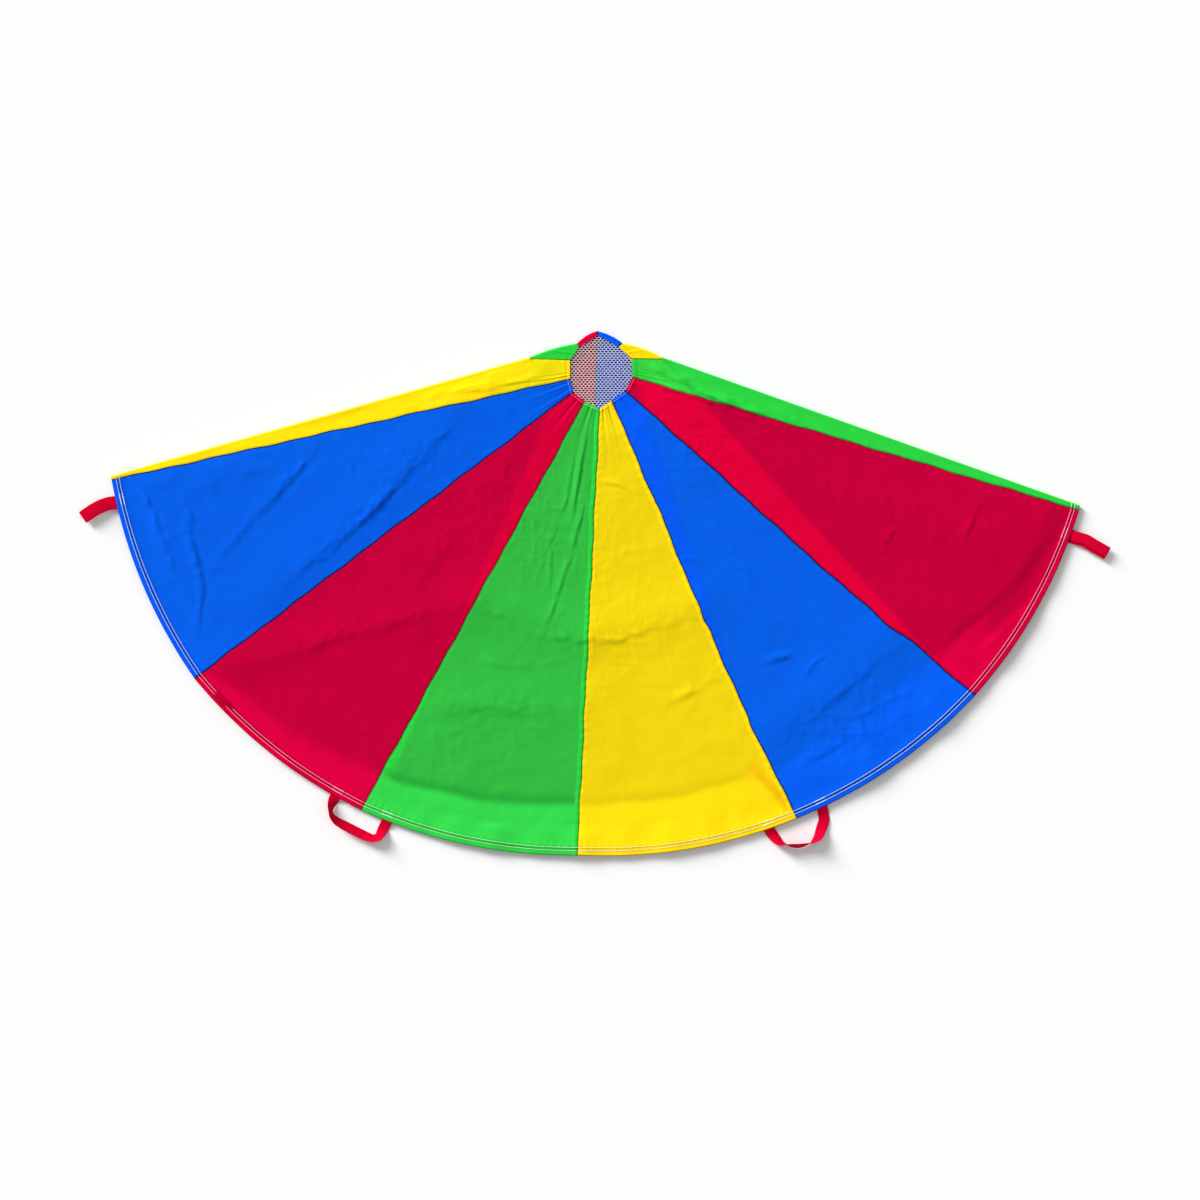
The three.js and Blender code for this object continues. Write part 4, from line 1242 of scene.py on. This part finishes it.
def strap_mesh(centre, side):
    """Webbing swept along its middle line. side points across it, to one of its edges."""
    mesh, column, row = grid("webbing", SECTION_POINTS, len(centre) - 1)
    side = unit(side)
    face = np.cross(unit(np.gradient(centre, axis=0)), side)
    angle = 2 * np.pi * column / SECTION_POINTS
    edge_power, face_power = SECTION_POWERS
    across = WEBBING_WIDTH / 2 * squared(np.cos(angle), edge_power)
    up = WEBBING_THICKNESS / 2 * squared(np.sin(angle), face_power)
    points = centre[row] + across[:, None] * side[row] + up[:, None] * face[row]
    lay(mesh, points[:, :2], points[:, 2])
    store_uv(mesh, "webbing", np.column_stack([across, reach_along(centre)[row]]) / 1000)
    bm = bmesh.new()
    bm.from_mesh(mesh)
    bmesh.ops.remove_doubles(bm, verts=bm.verts, dist=SAME_PLACE)
    bmesh.ops.holes_fill(bm, edges=[edge for edge in bm.edges if edge.is_boundary])
    bmesh.ops.recalc_face_normals(bm, faces=bm.faces)
    bm.to_mesh(mesh)
    bm.free()
    return mesh


def strap(handle, centre, side):
    tabs = [f"{handle}_handle_tab_{number}" for number in (1, 2)]
    nodes = [f"{handle}_handle", *tabs]
    piece = publish(f"{handle}_webbing", strap_mesh(centre, side), None, webbing, nodes)
    hinge = Hinge(handle)
    hinge.near(-HINGE_REACH)
    hinge.near(HINGE_REACH)
    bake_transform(piece)


def open_loop(handle, stations, hem_level, face):
    """A loop that lies open, flat or leaning on one edge. face is -1 where its ends lie under the hem."""
    first, last = ((stations[i][0], -SEWN_DEPTH, SEEN_FLAT) for i in (0, -1))
    path = even_path([first, *stations, last], STRAP_STEP)
    hinge = Hinge(handle)
    plan = hinge.plan(path)
    lean = np.arccos(np.clip(path[:, 2] / SEEN_FLAT, -1, 1))
    floor = FLOOR_LEVEL + WEBBING_WIDTH / 2 * np.sin(lean) + WEBBING_THICKNESS / 2
    sewn = hem_level(plan) + face * (TURN + WEBBING_THICKNESS / 2)
    level = between(sewn, floor, smooth(*DROP, path[:, 1]))
    across = beside(unit(np.gradient(plan, axis=0)))
    across *= np.sign(across[len(plan) // 2] @ hinge.out)
    side = np.column_stack([across * np.cos(lean)[:, None], np.sin(lean)])
    strap(handle, np.column_stack([plan, level]), side)


def shut_loop(handle):
    """A loop whose upper ply turns down at its end and comes back as its lower ply."""
    path = even_path(SHUT_LOOPS[handle], STRAP_STEP)
    hinge = Hinge(handle)
    plan = hinge.plan(path)
    ahead = unit(np.gradient(plan, axis=0))
    across = beside(ahead)
    lower = path[:, 2]
    upper = lower + between(SEWN_GAP, 2 * FOLD_DROP, smooth(*DROP, path[:, 1]))
    there = np.column_stack([plan - PLY_OFFSET * across, upper])
    back = np.column_stack([plan + PLY_OFFSET * across, lower])[::-1]
    turn = np.linspace(0, np.pi, BEND_POINTS)[1:-1]
    way = np.append(ahead[-1], 0)
    bend = mix(there[-1], back[0], (1 - np.cos(turn)) / 2) + FOLD_DROP * np.sin(turn)[:, None] * way
    centre = np.concatenate([there, bend, back])
    sides = np.column_stack([across, np.zeros(len(across))])
    strap(handle, centre, np.concatenate([sides, np.repeat(sides[-1:], len(bend), 0), sides[::-1]]))


webbing = webbing_material()
for handle in SHUT_LOOPS:
    shut_loop(handle)
for handle, stations in OPEN_LOOPS.items():
    open_loop(handle, stations, upper_level, -1)
for handle, places in FLAT_LOOPS.items():
    open_loop(handle, [(*place, SEEN_FLAT) for place in places], under_level, 1)

# Stitching
STITCH_PITCH = 3.1
STITCH_LENGTH = 2.8
THREAD_RADIUS = 0.62
FINE_THREAD_RADIUS = 0.18
LOOSE_THREAD_RADIUS = 0.45
THREAD_LIFT = THREAD_RADIUS / 2
LOOSE_THREAD_LIFT = 1
THREAD_SIDES = 6
THREAD_TAPER = 0.8
LINE_POINTS = 60
TACKS = ((119, 500), (338, 795), (389, 817), (770, 826), (822, 803), (1068, 535))
TACK_ROWS = (8.4, 9.2, 14.0, 14.8)
TACK_LENGTH = 24
LOOSE_ENDS = {2: (((348, 804), (352, 806.5)), ((351, 805), (349.5, 808))), 4: (((770, 823), (764, 826)),)}


def stitch(bm, start, end, radius):
    start, end = Vector(start), Vector(end)
    turned = (end - start).to_track_quat("Z", "Y").to_matrix().to_4x4()
    place = Matrix.Translation((start + end) / 2) @ turned
    bmesh.ops.create_cone(bm, cap_ends=True, segments=THREAD_SIDES, radius1=radius,
                          radius2=THREAD_TAPER * radius, depth=(end - start).length, matrix=place)


def stitch_row(bm, line, radius):
    """Stitches laid end to end along a line of points."""
    reach = reach_along(line)
    for start in np.arange(0, reach[-1] - STITCH_LENGTH, STITCH_PITCH):
        ends = [[np.interp(at, reach, column) for column in line.T] for at in (start, start + STITCH_LENGTH)]
        stitch(bm, *ends, radius)


def thread_line(surface):
    """The points of a row of stitches on a surface."""
    plan, level, _ = surface
    return np.column_stack([plan, level + THREAD_LIFT])


def upper_line(k, ring_hem, body, hem, low=0, high=1):
    """A line across an upper gore, after so much of its ring hem, body and rim hem."""
    row = (np.full(LINE_POINTS, part) for part in (ring_hem, body, hem, 0, 0))
    return thread_line(upper_surface(k, np.linspace(low, high, LINE_POINTS), Along(*row)))


def hem_line(k, distance, low=0, high=1):
    """A line at a distance from an upper gore's hem edge."""
    return upper_line(k, RING_HEM, 1, HEM - distance, low, high)


def side_line(k, distance):
    """The same across the part of a divided gore that lies on top."""
    rows = UnderRows(np.full(LINE_POINTS, UNDER_ROWS - TURN_ROWS - BACK_ROWS))
    rows.along.hem[:] = HEM - distance
    return thread_line(side_surface(k, np.linspace(0, SIDE_COLUMNS[0], LINE_POINTS), rows))


def tack_lines(k):
    """Extra rows over the sewn ends of the handles."""
    hem = hem_line(k, sum(STITCH_ROWS) / 2)[:, :2]
    reach = TACK_LENGTH / 2 / length_of(hem[-1] - hem[0])
    lines = []
    for pixel in TACKS:
        away = length_of(hem - photo(pixel)[0])
        if away.min() < HEM:
            u = away.argmin() / (len(hem) - 1)
            lines += [hem_line(k, row, max(u - reach, 0), min(u + reach, 1)) for row in TACK_ROWS]
    return lines


def stitching(k, hem_lines, ring_lines=()):
    bm = bmesh.new()
    for line in hem_lines:
        stitch_row(bm, line, THREAD_RADIUS)
    for line in ring_lines:
        stitch_row(bm, line, FINE_THREAD_RADIUS)
    for pixels in LOOSE_ENDS.get(k, ()):
        plan = photo(*pixels)
        stitch(bm, *np.column_stack([plan, upper_level(plan) + LOOSE_THREAD_LIFT]), LOOSE_THREAD_RADIUS)
    for vertex in bm.verts:
        vertex.co = (vertex.co + Vector((*CROWN, 0))) / 1000
    dye = dye_of(k)
    publish(f"stitches_{k + 1:02d}_{dye}", mesh_of(bm, "stitches"), "canopy", threads[dye])


threads = {dye: thread_material(f"{dye}_gore_thread", colour) for dye, colour in THREADS.items()}
for k in sorted((*SIDE_GORES, *UPPER_GORES)):
    if k in SIDE_GORES:
        stitching(k, [side_line(k, row) for row in STITCH_ROWS])
    else:
        hem_rows = [hem_line(k, row) for row in STITCH_ROWS]
        ring_rows = [upper_line(k, row, 0, 0) for row in RING_STITCH_ROWS]
        stitching(k, hem_rows + tack_lines(k), ring_rows)

# Camera, light and floor
FLOOR_REACH = 12
FLOOR_WHITE = 0.915
WORLD_LIGHT = 0.48

# Bearing, elevation, strength and softness of each lamp
LAMPS = {"window": (136, 27, 2.6, 22), "low_window": (140, 17, 2.45, 18)}

bm = bmesh.new()
bmesh.ops.create_grid(bm, x_segments=1, y_segments=1, size=FLOOR_REACH)
bmesh.ops.translate(bm, verts=bm.verts, vec=(0, 0, FLOOR_LEVEL / 1000))
paper = Material("white_floor", roughness=0.9, specular_ior_level=0.1)
paper.surface.inputs["Base Color"].default_value = opaque([FLOOR_WHITE] * 3)
floor = put("floor", mesh_of(bm, "floor"))
floor.data.materials.append(paper.data)

camera_data = bpy.data.cameras.new("camera")
camera_data.lens = LENS
camera_data.sensor_width = SENSOR
camera = put("camera", camera_data)
middle = photo((FRAME_PIXELS / 2, FRAME_PIXELS / 2))[0] + CROWN
distance = FRAME_PIXELS * MM_PER_PIXEL * LENS / SENSOR
camera.location = (middle[0] / 1000, middle[1] / 1000, (distance + TOP_LEVEL) / 1000)
bpy.context.scene.camera = camera


def sunlight(name, bearing, elevation, strength, softness):
    data = bpy.data.lights.new(name, "SUN")
    data.energy = strength
    data.angle = math.radians(softness)
    lamp = put(name, data)
    up = math.radians(elevation)
    toward = Vector((*(polar(1, bearing) * math.cos(up)), math.sin(up)))
    lamp.rotation_euler = toward.to_track_quat("Z", "Y").to_euler()


for name, light in LAMPS.items():
    sunlight(name, *light)

world = bpy.data.worlds.new("room")
world.use_nodes = True
bpy.context.scene.world = world
background = world.node_tree.nodes["Background"]
background.inputs["Color"].default_value = (1, 1, 1, 1)
path = world.node_tree.nodes.new("ShaderNodeLightPath")
seen = path.outputs["Is Camera Ray"]
for kind in ("Is Glossy Ray", "Is Transmission Ray"):
    either = world.node_tree.nodes.new("ShaderNodeMath")
    either.operation = "MAXIMUM"
    world.node_tree.links.new(seen, either.inputs[0])
    world.node_tree.links.new(path.outputs[kind], either.inputs[1])
    seen = either.outputs[0]
strength = world.node_tree.nodes.new("ShaderNodeMix")
strength.inputs[2].default_value = WORLD_LIGHT
strength.inputs[3].default_value = 1
world.node_tree.links.new(seen, strength.inputs[0])
world.node_tree.links.new(strength.outputs[0], background.inputs["Strength"])
bpy.context.scene.view_settings.view_transform = "Standard"
